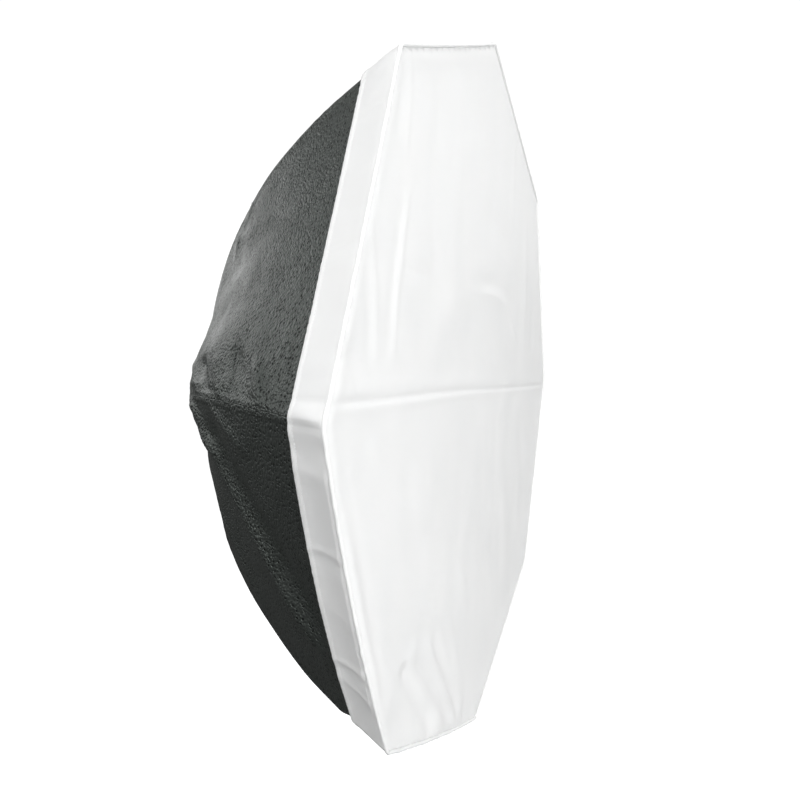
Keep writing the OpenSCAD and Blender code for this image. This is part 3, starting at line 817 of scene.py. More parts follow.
# ---------------------------------------------------------------------------------------------
# Front cloth: one octagon of thin white nylon, sewn into the piping all round. It has a packing
# crease across its middle, long soft folds hanging from the upper edge, and folds pulled into the
# lower left corner. It sags inwards a little.
# ---------------------------------------------------------------------------------------------
FACE_Y = -0.4264
FACE_CLOTH = 0.0004
# Folds: points as (x, z) in millimetres, half width, and height towards the front (less is in).
FACE_FOLDS = [
    ([(-468, 18), (-437, 17), (-388, 15), (-319, 14), (-232, 13), (-76, 9), (160, 1), (466, -7)],
     2.3, -1.3),
    ([(-468, 30), (-388, 27), (-232, 24), (-76, 20), (160, 12), (466, 4)], 8.0, 0.5),
    ([(-468, 10), (-388, 8), (-232, 6), (-76, 2), (160, -6), (466, -14)], 5.0, 0.6),
    ([(-310, 345), (-306, 305), (-312, 262), (-316, 240)], 6.0, 1.9),
    ([(-330, 352), (-330, 290), (-336, 250)], 7.0, -1.3),
    ([(-301, 222), (-314, 173), (-329, 115), (-334, 40)], 5.0, 1.9),
    ([(-318, 205), (-334, 150), (-348, 90), (-352, 40)], 9.0, -1.3),
    ([(-398, 182), (-380, 119), (-373, 40)], 4.5, 1.5),
    ([(-410, 170), (-396, 110), (-390, 40)], 8.0, -1.2),
    ([(-452, 50), (-440, 46), (-424, 32), (-416, 20)], 4.0, 1.6),
    ([(-440, 60), (-420, 46), (-404, 24)], 7.0, -1.2),
    ([(-318, 134), (-300, 138), (-265, 140), (-240, 134)], 6.0, -1.1),
    ([(-60, 134), (10, 142), (73, 142), (142, 126), (183, 95), (227, 66)], 6.5, 1.3),
    ([(-40, 152), (80, 158), (160, 140), (205, 105)], 12.0, -1.2),
    ([(51, 310), (99, 287), (171, 274)], 7.0, 1.0),
    ([(20, 250), (60, 236), (120, 230)], 9.0, -0.9),
    ([(240, 300), (262, 200), (270, 120), (262, 40)], 18.0, 1.3),
    ([(300, 260), (330, 150), (335, 40)], 22.0, -1.4),
    ([(-150, 400), (-140, 300), (-150, 180), (-160, 60)], 26.0, 1.8),
    ([(20, 430), (30, 330), (18, 200)], 24.0, -1.6),
    ([(130, 420), (140, 340), (150, 240)], 14.0, 1.4),
    ([(-230, 380), (-222, 300), (-228, 200), (-230, 60)], 20.0, -1.4),
    ([(-305, -255), (-280, -283), (-250, -318), (-214, -360), (-186, -410)], 10.0, -3.4),
    ([(-286, -250), (-252, -284), (-205, -335), (-150, -400)], 13.0, 2.6),
    ([(-270, -262), (-227, -300), (-170, -358), (-112, -420)], 9.0, -3.2),
    ([(-236, -262), (-190, -306), (-140, -366), (-95, -424)], 12.0, 2.4),
    ([(-206, -262), (-170, -306), (-130, -358), (-86, -420)], 8.0, -2.8),
    ([(-150, -250), (-110, -320), (-66, -430)], 15.0, 1.8),
    ([(-310, -268), (-296, -258), (-262, -262), (-226, -288)], 6.0, 1.8),
    ([(-75, -420), (-50, -445), (-20, -462)], 13.0, -2.4),
    ([(-345, -300), (-300, -330), (-250, -372)], 15.0, -1.8),
    ([(-430, -70), (-405, -130), (-376, -210), (-350, -290)], 7.0, 1.6),
    ([(-418, -60), (-392, -125), (-360, -210), (-335, -290)], 9.0, -1.5),
    ([(-380, -22), (-368, -30), (-354, -42)], 5.0, 1.2),
    ([(-424, -36), (-410, -60), (-395, -90)], 6.0, 1.0),
    ([(-223, -110), (-160, -160), (-101, -212), (-44, -316)], 16.0, 1.5),
    ([(-190, -120), (-110, -170), (-60, -220), (0, -320)], 18.0, -1.3),
    ([(90, -60), (140, -160), (180, -300), (190, -400)], 24.0, 1.6),
    ([(260, -40), (290, -160), (300, -300)], 22.0, -1.4),
    ([(-300, -30), (-280, -120), (-230, -220)], 22.0, -1.2),
]


def fold_profile(points, x, z):
    """Distance from each place to a fold's line, and how far along the fold it is, 0 to 1."""
    lengths = [math.dist(a, b) for a, b in zip(points, points[1:])]
    best = np.full(x.shape, 1e9)
    along = np.zeros(x.shape)
    done = 0.0
    for (ax, az), (bx, bz), length in zip(points, points[1:], lengths):
        t = np.clip(((x - ax) * (bx - ax) + (z - az) * (bz - az)) / length ** 2, 0, 1)
        gap = np.hypot(x - ax - t * (bx - ax), z - az - t * (bz - az))
        nearer = gap < best
        best = np.where(nearer, gap, best)
        along = np.where(nearer, (done + t * length) / sum(lengths), along)
        done += length
    return best, along


def cut_octagon(bm, flat, y):
    """Trims a flat sheet at y to an octagon with its sides flat metres out, and maps its cloth."""
    for k in range(8):
        out = gore_out(k)[0]
        bmesh.ops.bisect_plane(bm, geom=bm.verts[:] + bm.edges[:] + bm.faces[:], dist=1e-5,
                               plane_co=out * flat + Vector((0, y, 0)), plane_no=out,
                               clear_outer=True)
    uv = bm.loops.layers.uv.new("cloth")
    for face in bm.faces:
        for loop in face.loops:
            loop[uv].uv = (loop.vert.co.x, loop.vert.co.z)


bm = bmesh.new()
bmesh.ops.create_grid(bm, x_segments=170, y_segments=190, size=1.0)
for v in bm.verts:
    z = 0.55 * v.co.y + 0.45 * v.co.y ** 3          # rows stand closer beside the packing crease
    v.co = Vector((v.co.x * 0.48, FACE_Y, z * 0.48))
face_flat = CORNER_R * math.cos(math.pi / 8) - 0.0030
cut_octagon(bm, face_flat, FACE_Y)
bm.verts.ensure_lookup_table()
spots = np.array([v.co for v in bm.verts])
x, z = spots[:, 0] * 1000, spots[:, 2] * 1000
rise = np.zeros(len(x))
rim = np.full(len(x), 1e9)
for k in range(8):
    out, side = gore_out(k)
    rim = np.minimum(rim, face_flat * 1000 - (x * out.x + z * out.z))
for points, width, high in FACE_FOLDS:
    gap, along = fold_profile(points, x, z)
    ends = np.clip(along / 0.16, 0, 1) * np.clip((1 - along) / 0.16, 0, 1)
    if abs(points[0][0]) > 460:                     # the packing crease runs from edge to edge
        ends = 1.0 - 0.45 * along
    high *= 1.0 if abs(points[0][0]) > 460 or high < -2 else 0.62
    rise += high * np.exp(-(gap / width) ** 2) * (3 * ends ** 2 - 2 * ends ** 3)
for i in range(len(x)):
    spot = Vector((x[i] / 150, 0, z[i] / 260))
    rise[i] += 1.1 * noise.noise(spot) + 0.45 * noise.noise(Vector((x[i] / 34, 3, z[i] / 75)))
    edge = Vector((x[i] / 16, 7, z[i] / 16))
    rise[i] += 0.55 * noise.noise(edge) * math.exp(-rim[i] / 22)
hold = np.clip(rim / 14, 0, 1)
rise *= hold * hold * (3 - 2 * hold)
sag = (-3.2 * (1 - np.exp(-rim / 130)) + 0.9 * np.exp(-((rim - 9) / 7) ** 2)
       - 0.9 * np.exp(-(rim / 3) ** 2))
for v, up in zip(bm.verts, rise + sag):
    v.co.y -= up / 1000
    turn = math.degrees(math.atan2(v.co.z, v.co.x)) % 360
    k = int(turn // 45) % 8
    out, side = gore_out(k)
    reach = v.co.dot(out) / face_flat
    s = 0.5 + v.co.dot(side) / (2 * max(1e-6, v.co.dot(out)) * math.tan(math.pi / 8))
    s = min(1, max(0, s))
    v.co += out * SIDE_BOW[k] / 1000 * 4 * s * (1 - s) * ease(reach, 0.55, 1.0)
bmesh.ops.recalc_face_normals(bm, faces=bm.faces)
face_out(bm, lambda point: Vector((0, -1, 0)))
face_cloth = cloth_piece(bm, "front_cloth", FACE_CLOTH, diffuser_cloth, ["diffuser_face"])

# ---------------------------------------------------------------------------------------------
# Rods: eight lengths of bright sprung steel wire. Each bends evenly from its socket to the corner
# that it tensions, and its inner end is swaged a little thicker to hold in its ferrule.
# ---------------------------------------------------------------------------------------------
ROD_R = 0.0024
BEND_START = (0.110, -0.028)
BEND_ANGLE = math.asin((BEND_START[1] - ARC_Y) / ROD_BEND)
TIP_ANGLE = math.asin((FRONT_Y + 0.007 - ARC_Y) / ROD_BEND)


def in_plane(k, r, y, side=0.0):
    """A point at r from the axis and at y in rod k's plane, and side metres off that plane."""
    turn = math.radians(45 * k)
    return Vector((r * math.cos(turn) - side * math.sin(turn), y,
                   r * math.sin(turn) + side * math.cos(turn)))


def on_rod(k, run):
    """The rod's centre and direction at a distance from its bend's start: outwards is positive."""
    if run < 0:
        way = (math.sin(BEND_ANGLE), -math.cos(BEND_ANGLE))
        centre = in_plane(k, BEND_START[0] + run * way[0], BEND_START[1] + run * way[1])
        return centre, in_plane(k, *way)
    angle = BEND_ANGLE - run / ROD_BEND
    centre = rod_plane(math.radians(45 * k), 0.0, angle)
    return centre, in_plane(k, math.sin(angle), -math.cos(angle))


def swept(bm, stations, sides=20, shape=None):
    """A closed skin round stations of (centre, direction, radius), scaled by shape(turn, i)."""
    made = bmesh.ops.create_grid(bm, x_segments=sides, y_segments=len(stations) - 1,
                                 size=0.5)["verts"]
    for v in made:
        i = round((v.co.y + 0.5) * (len(stations) - 1))
        turn = 2 * math.pi * (v.co.x + 0.5)
        centre, way, radius = stations[i]
        way = way.normalized()
        u = way.cross(Vector((0, 1, 0)) if abs(way.y) < 0.9 else Vector((1, 0, 0))).normalized()
        w = way.cross(u)
        grown = radius * (shape(turn, i) if shape else 1.0)
        v.co = centre + (u * math.cos(turn) + w * math.sin(turn)) * grown
    bmesh.ops.remove_doubles(bm, verts=made, dist=1e-7)
    loose = [e for e in bm.edges if e.is_boundary]
    bmesh.ops.holes_fill(bm, edges=loose)
    bmesh.ops.recalc_face_normals(bm, faces=bm.faces)


def metal(name, dark, light, roughness, grain=500.0, rings=None, depth=0.00012):
    """Bare metal with fine scratches, patches of tarnish, and turning marks if it is turned."""
    material, shader, add, wire = node_material(name, light, roughness)
    shader.inputs["Metallic"].default_value = 1.0
    spot = add("TexCoord").outputs["Object"]
    patches = add("TexNoise", {"Vector": spot, "Scale": 60.0, "Detail": 5.0})
    scratch = add("TexNoise", {"Vector": add("VectorMath", {0: spot, 1: (1.0, 0.12, 1.0)},
                                             operation="MULTIPLY"), "Scale": grain, "Detail": 4.0})
    height = scratch
    if rings:
        marks = add("TexWave", {"Vector": spot, "Scale": rings, "Distortion": 0.6, "Detail": 2.0},
                    wave_type="RINGS", rings_direction="Y")
        height = add("Math", {0: marks, 1: add("Math", {0: scratch, 1: 0.5}, operation="MULTIPLY")},
                     operation="ADD")
    wire(add("Bump", {"Height": height, "Strength": 0.35, "Distance": depth}), "Normal")
    wire(add("MixRGB", {0: add("MapRange", {0: patches, 1: 0.35, 2: 0.7, 3: 0.0, 4: 1.0}),
                        1: (*light, 1), 2: (*dark, 1)}), "Base Color")
    wire(add("MapRange", {0: scratch, 1: 0.3, 2: 0.7, 3: roughness - 0.07, 4: roughness + 0.10}),
         "Roughness")
    return material


rod_steel = metal("bright_sprung_steel", (0.42, 0.42, 0.43), (0.62, 0.62, 0.63), 0.24, grain=900.0)
rod_length = (BEND_ANGLE - TIP_ANGLE) * ROD_BEND
for k in range(8):
    bm = bmesh.new()
    stations = [(-0.0320, 0.0021), (-0.0316, 0.0025), (-0.0040, 0.0025), (-0.0012, ROD_R)]
    stations += [(rod_length * i / 72, ROD_R) for i in range(72)]
    stations += [(rod_length - 0.0006, ROD_R), (rod_length, ROD_R * 0.7)]
    swept(bm, [(*on_rod(k, run), r) for run, r in stations], sides=16)
    rod = finish_mesh(bm, f"sprung_rod_{k + 1}")
    dress(rod, rod_steel, "softbox", [f"rod_{k + 1}"])

# ---------------------------------------------------------------------------------------------
# Ferrules and tips: a brass tube is crimped round each rod's inner end, with two crimp rings and
# a rolled lip. A ribbed black rubber cap, domed at its end, covers the outer end in its pocket.
# ---------------------------------------------------------------------------------------------
ferrule_brass = metal("crimped_brass", (0.42, 0.27, 0.09), (0.72, 0.52, 0.20), 0.30, grain=700.0)


def join_up(bm, parts):
    """Adds the meshes of other pieces to bm."""
    for part in parts:
        mesh = bpy.data.meshes.new("part")
        part.to_mesh(mesh)
        part.free()
        bm.from_mesh(mesh)
        bpy.data.meshes.remove(mesh)
    return bm


parts = []
for k in range(8):
    stations = [(-0.0320, 0.00285), (-0.0317, 0.0031), (-0.0062, 0.0031), (-0.0058, 0.00288),
                (-0.0052, 0.00288), (-0.0048, 0.0031), (-0.0038, 0.0031), (-0.0034, 0.00288),
                (-0.0028, 0.00288), (-0.0024, 0.0031), (-0.0016, 0.0033), (-0.0011, 0.0032),
                (-0.0010, 0.00262), (-0.0300, 0.00256)]
    part = bmesh.new()
    swept(part, [(*on_rod(k, run), r) for run, r in stations], sides=28)
    caps = [f for f in part.faces if len(f.verts) > 8]
    bmesh.ops.delete(part, geom=caps, context="FACES_ONLY")
    ends = [e for e in part.edges if e.is_boundary]
    bmesh.ops.bridge_loops(part, edges=ends)
    bmesh.ops.recalc_face_normals(part, faces=part.faces)
    parts.append(part)
dress(finish_mesh(join_up(bmesh.new(), parts), "brass_ferrules"), ferrule_brass, "softbox",
      ["rod_ferrules"])

tip_rubber, shader, add, wire = node_material("moulded_rubber", (0.018, 0.018, 0.019), 0.62)
spot = add("TexCoord").outputs["Object"]
dust = add("TexNoise", {"Vector": spot, "Scale": 260.0, "Detail": 6.0})
wire(add("Bump", {"Height": dust, "Strength": 0.4, "Distance": 0.0003}), "Normal")
wire(add("MixRGB", {0: add("MapRange", {0: dust, 1: 0.5, 2: 0.75, 3: 0.0, 4: 1.0}),
                    1: (0.016, 0.016, 0.017, 1), 2: (0.060, 0.058, 0.055, 1)}), "Base Color")
TIP_R = 0.0033
parts = []
for k in range(8):
    end = rod_length + 0.0024
    stations = [(end - 0.0262, 0.0026), (end - 0.0262, 0.0031), (end - 0.0257, TIP_R)]
    for rib in range(6):
        at = end - 0.0235 + rib * 0.0030
        stations += [(at, TIP_R), (at + 0.0004, TIP_R - 0.0003), (at + 0.0010, TIP_R - 0.0003),
                     (at + 0.0014, TIP_R)]
    stations += [(end - TIP_R + TIP_R * math.sin(a * math.pi / 12),
                  TIP_R * math.cos(a * math.pi / 12)) for a in range(6)]
    stations.append((end, 0.0002))
    part = bmesh.new()
    swept(part, [(*on_rod(k, run), r) for run, r in stations], sides=24)
    parts.append(part)
dress(finish_mesh(join_up(bmesh.new(), parts), "rubber_tips"), tip_rubber, "softbox", ["rod_tips"])

# ---------------------------------------------------------------------------------------------
# Tip pockets: a doubled piece of black webbing is folded over each rod's tip inside the corner,
# and sewn through the shell along both of its edges with close rows of stitching.
# ---------------------------------------------------------------------------------------------
POCKET_CLOTH = 0.0009


def pocket_place(k):
    def place(across, along):
        side = 2 * across - 1
        t = 0.0175 + 0.078 * along
        reach = abs(side) * 0.0150
        lift = -0.0044 + 0.0079 * ease(reach, 0.0040, 0.0120)
        lift += 0.0004 * math.sin(along * 17 + k) * ease(reach, 0.004, 0.008)
        angle = shell_front + (neck_edge - shell_front) * t
        place = ridge(k, t, lift, angle)
        other = ridge(k + (1 if side > 0 else -1), t, lift, angle)
        return place + (other - place).normalized() * reach, side * 0.018, along * 0.046
    return place


for k in range(8):
    bm = face_out(cloth_strip(26, 22, pocket_place(k)), lambda point: -from_axis(point))
    cloth_piece(bm, f"tip_pocket_{k + 1}", POCKET_CLOTH, black_webbing,
                ["tip_pockets"] if k == 0 else [], offset=1)
rows = []
for k in range(8):
    for across in (0.045, 0.115, 0.885, 0.955):
        row = [(pocket_place(k)(across, i / 12)[0] - arc_direction(k, 0.6) * 0.0010,
                -arc_direction(k, 0.6)) for i in range(13)]
        rows.append(row)
sewn_rows("pocket_stitching", rows, black_thread, pitch=0.003)

# ---------------------------------------------------------------------------------------------
# Inner baffle: a smaller octagon of white cloth that evens out the lamp, with a webbing border
# and eight straps. Each strap snaps on to a forked tab that is sewn into the shell's seam.
# ---------------------------------------------------------------------------------------------
BAFFLE_R = 0.2996
BAFFLE_Y = -0.2042
BORDER = 0.012
STRAP_Y = -0.2026
STRAP_HALF = 0.010
SNAP_AT = 0.3069
TAB_HALF = 0.007
FORK_HALF = 0.0029
BAFFLE_CLOTH, BORDER_CLOTH, STRAP_CLOTH, TAB_CLOTH = 0.0006, 0.0007, 0.0011, 0.0028


def octagon_sheet(flat, y, cells, relief):
    """An octagon of cloth cut from a grid. relief(x, z, rim) is how far each place stands in -y."""
    bm = bmesh.new()
    bmesh.ops.create_grid(bm, x_segments=cells, y_segments=cells, size=flat * 1.09)
    for v in bm.verts:
        v.co = Vector((v.co.x, y, v.co.y))
    cut_octagon(bm, flat, y)
    for v in bm.verts:
        rim = min(flat - v.co.dot(gore_out(k)[0]) for k in range(8))
        v.co.y -= relief(v.co.x, v.co.z, rim)
    bmesh.ops.recalc_face_normals(bm, faces=bm.faces)
    return face_out(bm, lambda point: Vector((0, -1, 0)))


def baffle_relief(x, z, rim):
    hold = ease(rim, 0.010, 0.06)
    pull = sum(math.exp(-((x * math.sin(math.radians(45 * k)) - z * math.cos(math.radians(45 * k)))
                          / 0.010) ** 2) * ease(x * math.cos(math.radians(45 * k))
                                                + z * math.sin(math.radians(45 * k)), 0.12, 0.29)
               for k in range(8))
    return hold * (0.0016 * noise.noise(Vector((x / 0.09, 4, z / 0.14))) + 0.0016) + (
        0.0007 * pull * hold)


baffle_flat = BAFFLE_R * math.cos(math.pi / 8)
baffle = cloth_piece(octagon_sheet(baffle_flat, BAFFLE_Y, 96, baffle_relief), "baffle_cloth",
                     BAFFLE_CLOTH, diffuser_cloth, ["inner_baffle"])
white_webbing = woven("white_webbing", (0.60, 0.60, 0.59), (0.83, 0.83, 0.82), 0.0010, 0.65,
                      depth=0.0004, strength=0.8, sheen=0.15)


def border_place(across, along):
    at = (across * 8) % 8
    point = octagon_point(BAFFLE_R - BORDER * 1.082 * (1 - along), int(at) % 8, at - int(at))
    point.y = BAFFLE_Y + 0.0010 + 0.00025 * noise.noise(Vector((at * 12, along * 2, 3)))
    return point, across * 1.83, along * BORDER


bm = face_out(cloth_strip(320, 6, border_place, loop=True), lambda point: Vector((0, 1, 0)))
cloth_piece(bm, "baffle_webbing", BORDER_CLOTH, white_webbing, ["baffle_border"])
rows = []
for edge in (0.14, 0.86):
    rows.append([(border_place(i / 320, edge)[0], Vector((0, 1, 0))) for i in range(321)])


def strap_place(k):
    def place(across, along):
        start, end = BAFFLE_R - 0.016, SNAP_AT + TAB_HALF
        r = start + (end - start) * along
        side = (2 * across - 1) * STRAP_HALF
        taper = 1 - 0.25 * ease(along, 0.88, 1.0) * abs(2 * across - 1)
        dip = 0.00022 * math.sin(2 * math.pi * along * 1.5) * (1 - abs(2 * across - 1))
        return in_plane(k, r, STRAP_Y + dip, side * taper), side, r
    return place


for k in range(8):
    bm = face_out(cloth_strip(14, 22, strap_place(k)), lambda point: Vector((0, 1, 0)))
    cloth_piece(bm, f"baffle_strap_{k + 1}", STRAP_CLOTH, white_webbing,
                ["baffle_straps"] if k == 0 else [])
    box = [(0.10, 0.06), (0.90, 0.06), (0.90, 0.44), (0.10, 0.44), (0.10, 0.06), (0.90, 0.44)]
    rows.append([(strap_place(k)(a, b)[0] + Vector((0, 0.0001, 0)), Vector((0, 1, 0)))
                 for a, b in box])
sewn_rows("baffle_stitching", rows, white_thread)


def tab_place(k, leg):
    """One half of a forked tab, from its folded inner end to the seam. leg is -1 or 1."""
    def place(across, along):
        r0, r1 = SNAP_AT - TAB_HALF, 0.3285
        r = r0 + (r1 - r0) * along
        inner = (FORK_HALF + 0.0002) * ease(r, 0.3150, 0.3180)
        side = leg * (inner + (STRAP_HALF - 0.0004 - inner) * across)
        # the tab's end is cut to the slope of the cloth that it is sewn to
        cut = 0.3250 - 0.0070 * across if k == 4 else 0.3275 - 0.0036 * across
        return in_plane(k, min(r, cut), -0.2004, side), side, r
    return place


for k in range(8):
    bm = join_up(cloth_strip(8, 30, tab_place(k, 1)), [cloth_strip(8, 30, tab_place(k, -1))])
    bmesh.ops.remove_doubles(bm, verts=bm.verts, dist=1e-5)
    bmesh.ops.recalc_face_normals(bm, faces=bm.faces)
    face_out(bm, lambda point: Vector((0, 1, 0)))
    cloth_piece(bm, f"seam_tab_{k + 1}", TAB_CLOTH, black_webbing,
                ["seam_tabs"] if k == 0 else [], offset=0)

snap_nickel = metal("nickel_plate", (0.40, 0.39, 0.37), (0.66, 0.65, 0.63), 0.20, grain=1100.0)


def turned(profile, steps=96, place=None):
    """A closed profile of (radius, y) spun round the y axis, then moved and turned by place."""
    bm = bmesh.new()
    verts = [bm.verts.new((r, y, 0)) for r, y in profile]
    edges = [bm.edges.new((verts[i], verts[(i + 1) % len(verts)])) for i in range(len(verts))
             if i + 1 < len(verts) or profile[0][0] > 1e-6]
    bmesh.ops.spin(bm, geom=verts + edges, cent=(0, 0, 0), axis=(0, 1, 0), angle=2 * math.pi,
                   steps=steps, use_merge=True)
    bmesh.ops.remove_doubles(bm, verts=bm.verts, dist=1e-6)
    bmesh.ops.recalc_face_normals(bm, faces=bm.faces)
    if place is not None:
        bmesh.ops.transform(bm, matrix=place, verts=bm.verts)
    return bm


def gather(name, parts, material, body, nodes=()):
    """Joins several meshes into one piece."""
    piece = finish_mesh(join_up(bmesh.new(), parts), name)
    piece.data.set_sharp_from_angle(angle=math.radians(35))
    return dress(piece, material, body, nodes)


CAP = [(0, 0), (0.0012, 0.0), (0.0016, 0.0002), (0.0022, 0.00075), (0.0034, 0.0011),
       (0.0043, 0.0009), (0.0049, 0.0005), (0.0050, 0.0), (0.0046, -0.0005), (0, -0.0005)]
STUD = [(0, 0), (0.0021, 0), (0.0024, -0.0003), (0.0030, -0.0003), (0.0034, 0.0002),
        (0.0042, 0.0002), (0.0048, -0.0002), (0.0050, -0.0009), (0.0050, -0.0016), (0, -0.0016)]
caps, studs = [], []
for k in range(8):
    at = in_plane(k, SNAP_AT, 0)
    front = Matrix.Translation((at.x, -0.2036, at.z)) @ Matrix.Rotation(math.pi, 4, "X")
    caps.append(turned(CAP, 32, front))
    studs.append(turned(STUD, 32, Matrix.Translation((at.x, -0.1974, at.z))))
gather("snap_cap_domes", caps, snap_nickel, "softbox", ["snap_caps"])
gather("snap_stud_rings", studs, snap_nickel, "softbox", ["snap_studs"])

# ---------------------------------------------------------------------------------------------
# Speed ring: one aluminium casting, blasted and painted satin black. Eight angled bosses take the
# rods, two more take the lock screws, and its back is turned to seat the insert and its plate.
# ---------------------------------------------------------------------------------------------
RING_OUT, RING_FRONT, RING_BACK = 0.087, -0.026, -0.004
SEAT_R, FRONT_OPENING = 0.0725, 0.0645
LOCK_Y = -0.012
LOCK_TURNS = [67.5, 247.5]
SCREW_RING = 0.07975
SCREW_TURNS = [math.radians(45 * (k + 0.25)) for k in range(8)]
SCREW_SPOTS = [Vector((SCREW_RING * math.cos(turn), 0, SCREW_RING * math.sin(turn)))
               for turn in SCREW_TURNS]
TO_BACK = Vector((0, 1, 0))

casting_paint, shader, add, wire = node_material("satin_black_casting", (0.022, 0.022, 0.023), 0.42)
spot = add("TexCoord").outputs["Object"]
orange_peel = add("TexNoise", {"Vector": spot, "Scale": 420.0, "Detail": 3.0})
handled = add("TexNoise", {"Vector": spot, "Scale": 38.0, "Detail": 6.0})
edge_wear = add("MapRange", {0: add("NewGeometry").outputs["Pointiness"], 1: 0.56, 2: 0.64, 3: 0.0,
                             4: 1.0})
rubbed = add("MapRange", {0: handled, 1: 0.52, 2: 0.66, 3: 0.0, 4: 1.0})
chipped = add("Math", {0: edge_wear, 1: rubbed}, operation="MULTIPLY")
wire(add("Bump", {"Height": orange_peel, "Strength": 0.45, "Distance": 0.00025}), "Normal")
wire(add("MixRGB", {0: chipped, 1: add("MixRGB", {0: handled, 1: (0.018, 0.018, 0.019, 1),
                                                  2: (0.034, 0.034, 0.035, 1)}),
                    2: (0.45, 0.45, 0.46, 1)}), "Base Color")
wire(add("MapRange", {0: handled, 1: 0.3, 2: 0.7, 3: 0.34, 4: 0.52}), "Roughness")


def temporary(bm):
    mesh = bpy.data.meshes.new("blank")
    bm.to_mesh(mesh)
    bm.free()
    blank = bpy.data.objects.new("blank", mesh)
    scene.collection.objects.link(blank)
    return blank


def cut_and_join(base, joined, cuts):
    """One clean solid from a base, the parts joined to it and the holes cut from it."""
    blanks = []
    for parts, operation in ((joined, "UNION"), (cuts, "DIFFERENCE")):
        for bm in parts:
            blank = temporary(bm)
            blanks.append(blank)
            step = base.modifiers.new("step", "BOOLEAN")
            step.object = blank
            step.operation = operation
            step.solver = "EXACT"
    view = bpy.context.evaluated_depsgraph_get()
    bm = bmesh.new()
    bm.from_mesh(base.evaluated_get(view).to_mesh())
    for blank in blanks + [base]:
        bpy.data.objects.remove(blank)
    bmesh.ops.remove_doubles(bm, verts=bm.verts, dist=2e-5)
    bmesh.ops.dissolve_degenerate(bm, edges=bm.edges, dist=1e-5)
    return bm


def bar(profile, start, way, steps=48):
    """A turned bar that lies along a direction: profile is (radius, distance from start)."""
    turn = Vector((0, 1, 0)).rotation_difference(way.normalized()).to_matrix().to_4x4()
    return turned(profile, steps, Matrix.Translation(start) @ turn)


ring_profile = [
    (FRONT_OPENING, RING_FRONT + 0.0008), (FRONT_OPENING + 0.0008, RING_FRONT),
    (RING_OUT - 0.0035, RING_FRONT), (RING_OUT - 0.0012, RING_FRONT + 0.0009),
    (RING_OUT, RING_FRONT + 0.0032), (RING_OUT, RING_BACK - 0.0016),
    (RING_OUT - 0.0005, RING_BACK - 0.0005), (RING_OUT - 0.0016, RING_BACK),
    (SEAT_R + 0.0006, RING_BACK), (SEAT_R, RING_BACK - 0.0006), (SEAT_R, -0.0203),
    (SEAT_R - 0.0003, -0.020),
    (FRONT_OPENING + 0.0006, -0.020), (FRONT_OPENING, -0.0206)]
base = temporary(turned(ring_profile, 160))
way_in = [on_rod(k, -0.01)[1] for k in range(8)]
bosses, holes = [], []
ROD_BOSS = [(0.0, -0.0215), (0.0082, -0.0215), (0.0082, -0.018), (0.0074, -0.014),
            (0.0070, -0.010), (0.0070, -0.0016), (0.0069, -0.0006), (0.0064, 0.0001),
            (0.0056, 0.0003), (0, 0.0003)]
LOCK_BOSS = [(0, 0.080), (0.0084, 0.080), (0.0084, 0.0878), (0.0074, 0.0892), (0.0070, 0.0906),
             (0.0070, 0.0930), (0.0067, 0.0937), (0.0060, 0.0940), (0, 0.0940)]
LOCK_HOLE = [(0, 0.070), (0.00306, 0.070), (0.00306, 0.0934), (0.0037, 0.0945), (0, 0.0945)]
for k in range(8):
    mouth = on_rod(k, -0.008)[0]
    bosses.append(bar(ROD_BOSS, mouth, way_in[k]))
    holes.append(bar([(0, 0.003), (0.0044, 0.003), (0.00316, 0.0001 - 0.0008), (0.00316, -0.025),
                      (0, -0.025)][::-1], mouth, way_in[k], 32))
for angle in LOCK_TURNS:
    turn = math.radians(angle)
    way = Vector((math.cos(turn), 0, math.sin(turn)))
    start = Vector((0, LOCK_Y, 0))
    bosses.append(bar(LOCK_BOSS, start, way))
    holes.append(bar(LOCK_HOLE, start, way, 32))
for at in SCREW_SPOTS:
    holes.append(bar([(0, -0.012), (0.00143, -0.012), (0.00143, 0.0), (0, 0.0)], at, TO_BACK, 20))
bm = cut_and_join(base, bosses, holes)
casting = gather("cast_speed_ring", [bm], casting_paint, "softbox", ["speedring"])
soft = casting.modifiers.new("soft_edges", "BEVEL")
soft.width = 0.0004
soft.segments = 2
soft.limit_method = "ANGLE"
soft.angle_limit = math.radians(50)
soft.use_clamp_overlap = True

# ---------------------------------------------------------------------------------------------
# Insert: turned from aluminium bar and left bright. Its seat turns in the ring, a groove takes the
# lock screws, and its neck carries three pressed steel bayonet lugs behind.
# ---------------------------------------------------------------------------------------------
turned_aluminium = metal("turned_aluminium", (0.46, 0.46, 0.47), (0.70, 0.70, 0.71), 0.30,
                         grain=260.0, rings=360.0, depth=0.00010)
BORE = 0.049
insert_profile = [
    (BORE + 0.0006, -0.01994), (BORE, -0.01934), (BORE, -0.0006), (BORE + 0.0006, 0.0),
    (0.0500, 0.0), (0.0503, -0.0003), (0.0614, -0.0003), (0.0617, 0.0), (0.0660, 0.0),
    (0.0665, -0.0005), (0.0665, -0.0036), (0.0668, -0.00406), (0.0719, -0.00406),
    (0.07244, -0.0046), (0.07244, -0.0082), (0.0720, -0.0086), (0.07100, -0.0086),
    (0.07095, -0.0090), (0.07095, -0.0150), (0.07100, -0.0154), (0.0720, -0.0154),
    (0.07244, -0.0158), (0.07244, -0.01944), (0.0719, -0.01994)]
gather("turned_insert", [turned(insert_profile, 192)], turned_aluminium, "mount",
       ["mount_insert"])

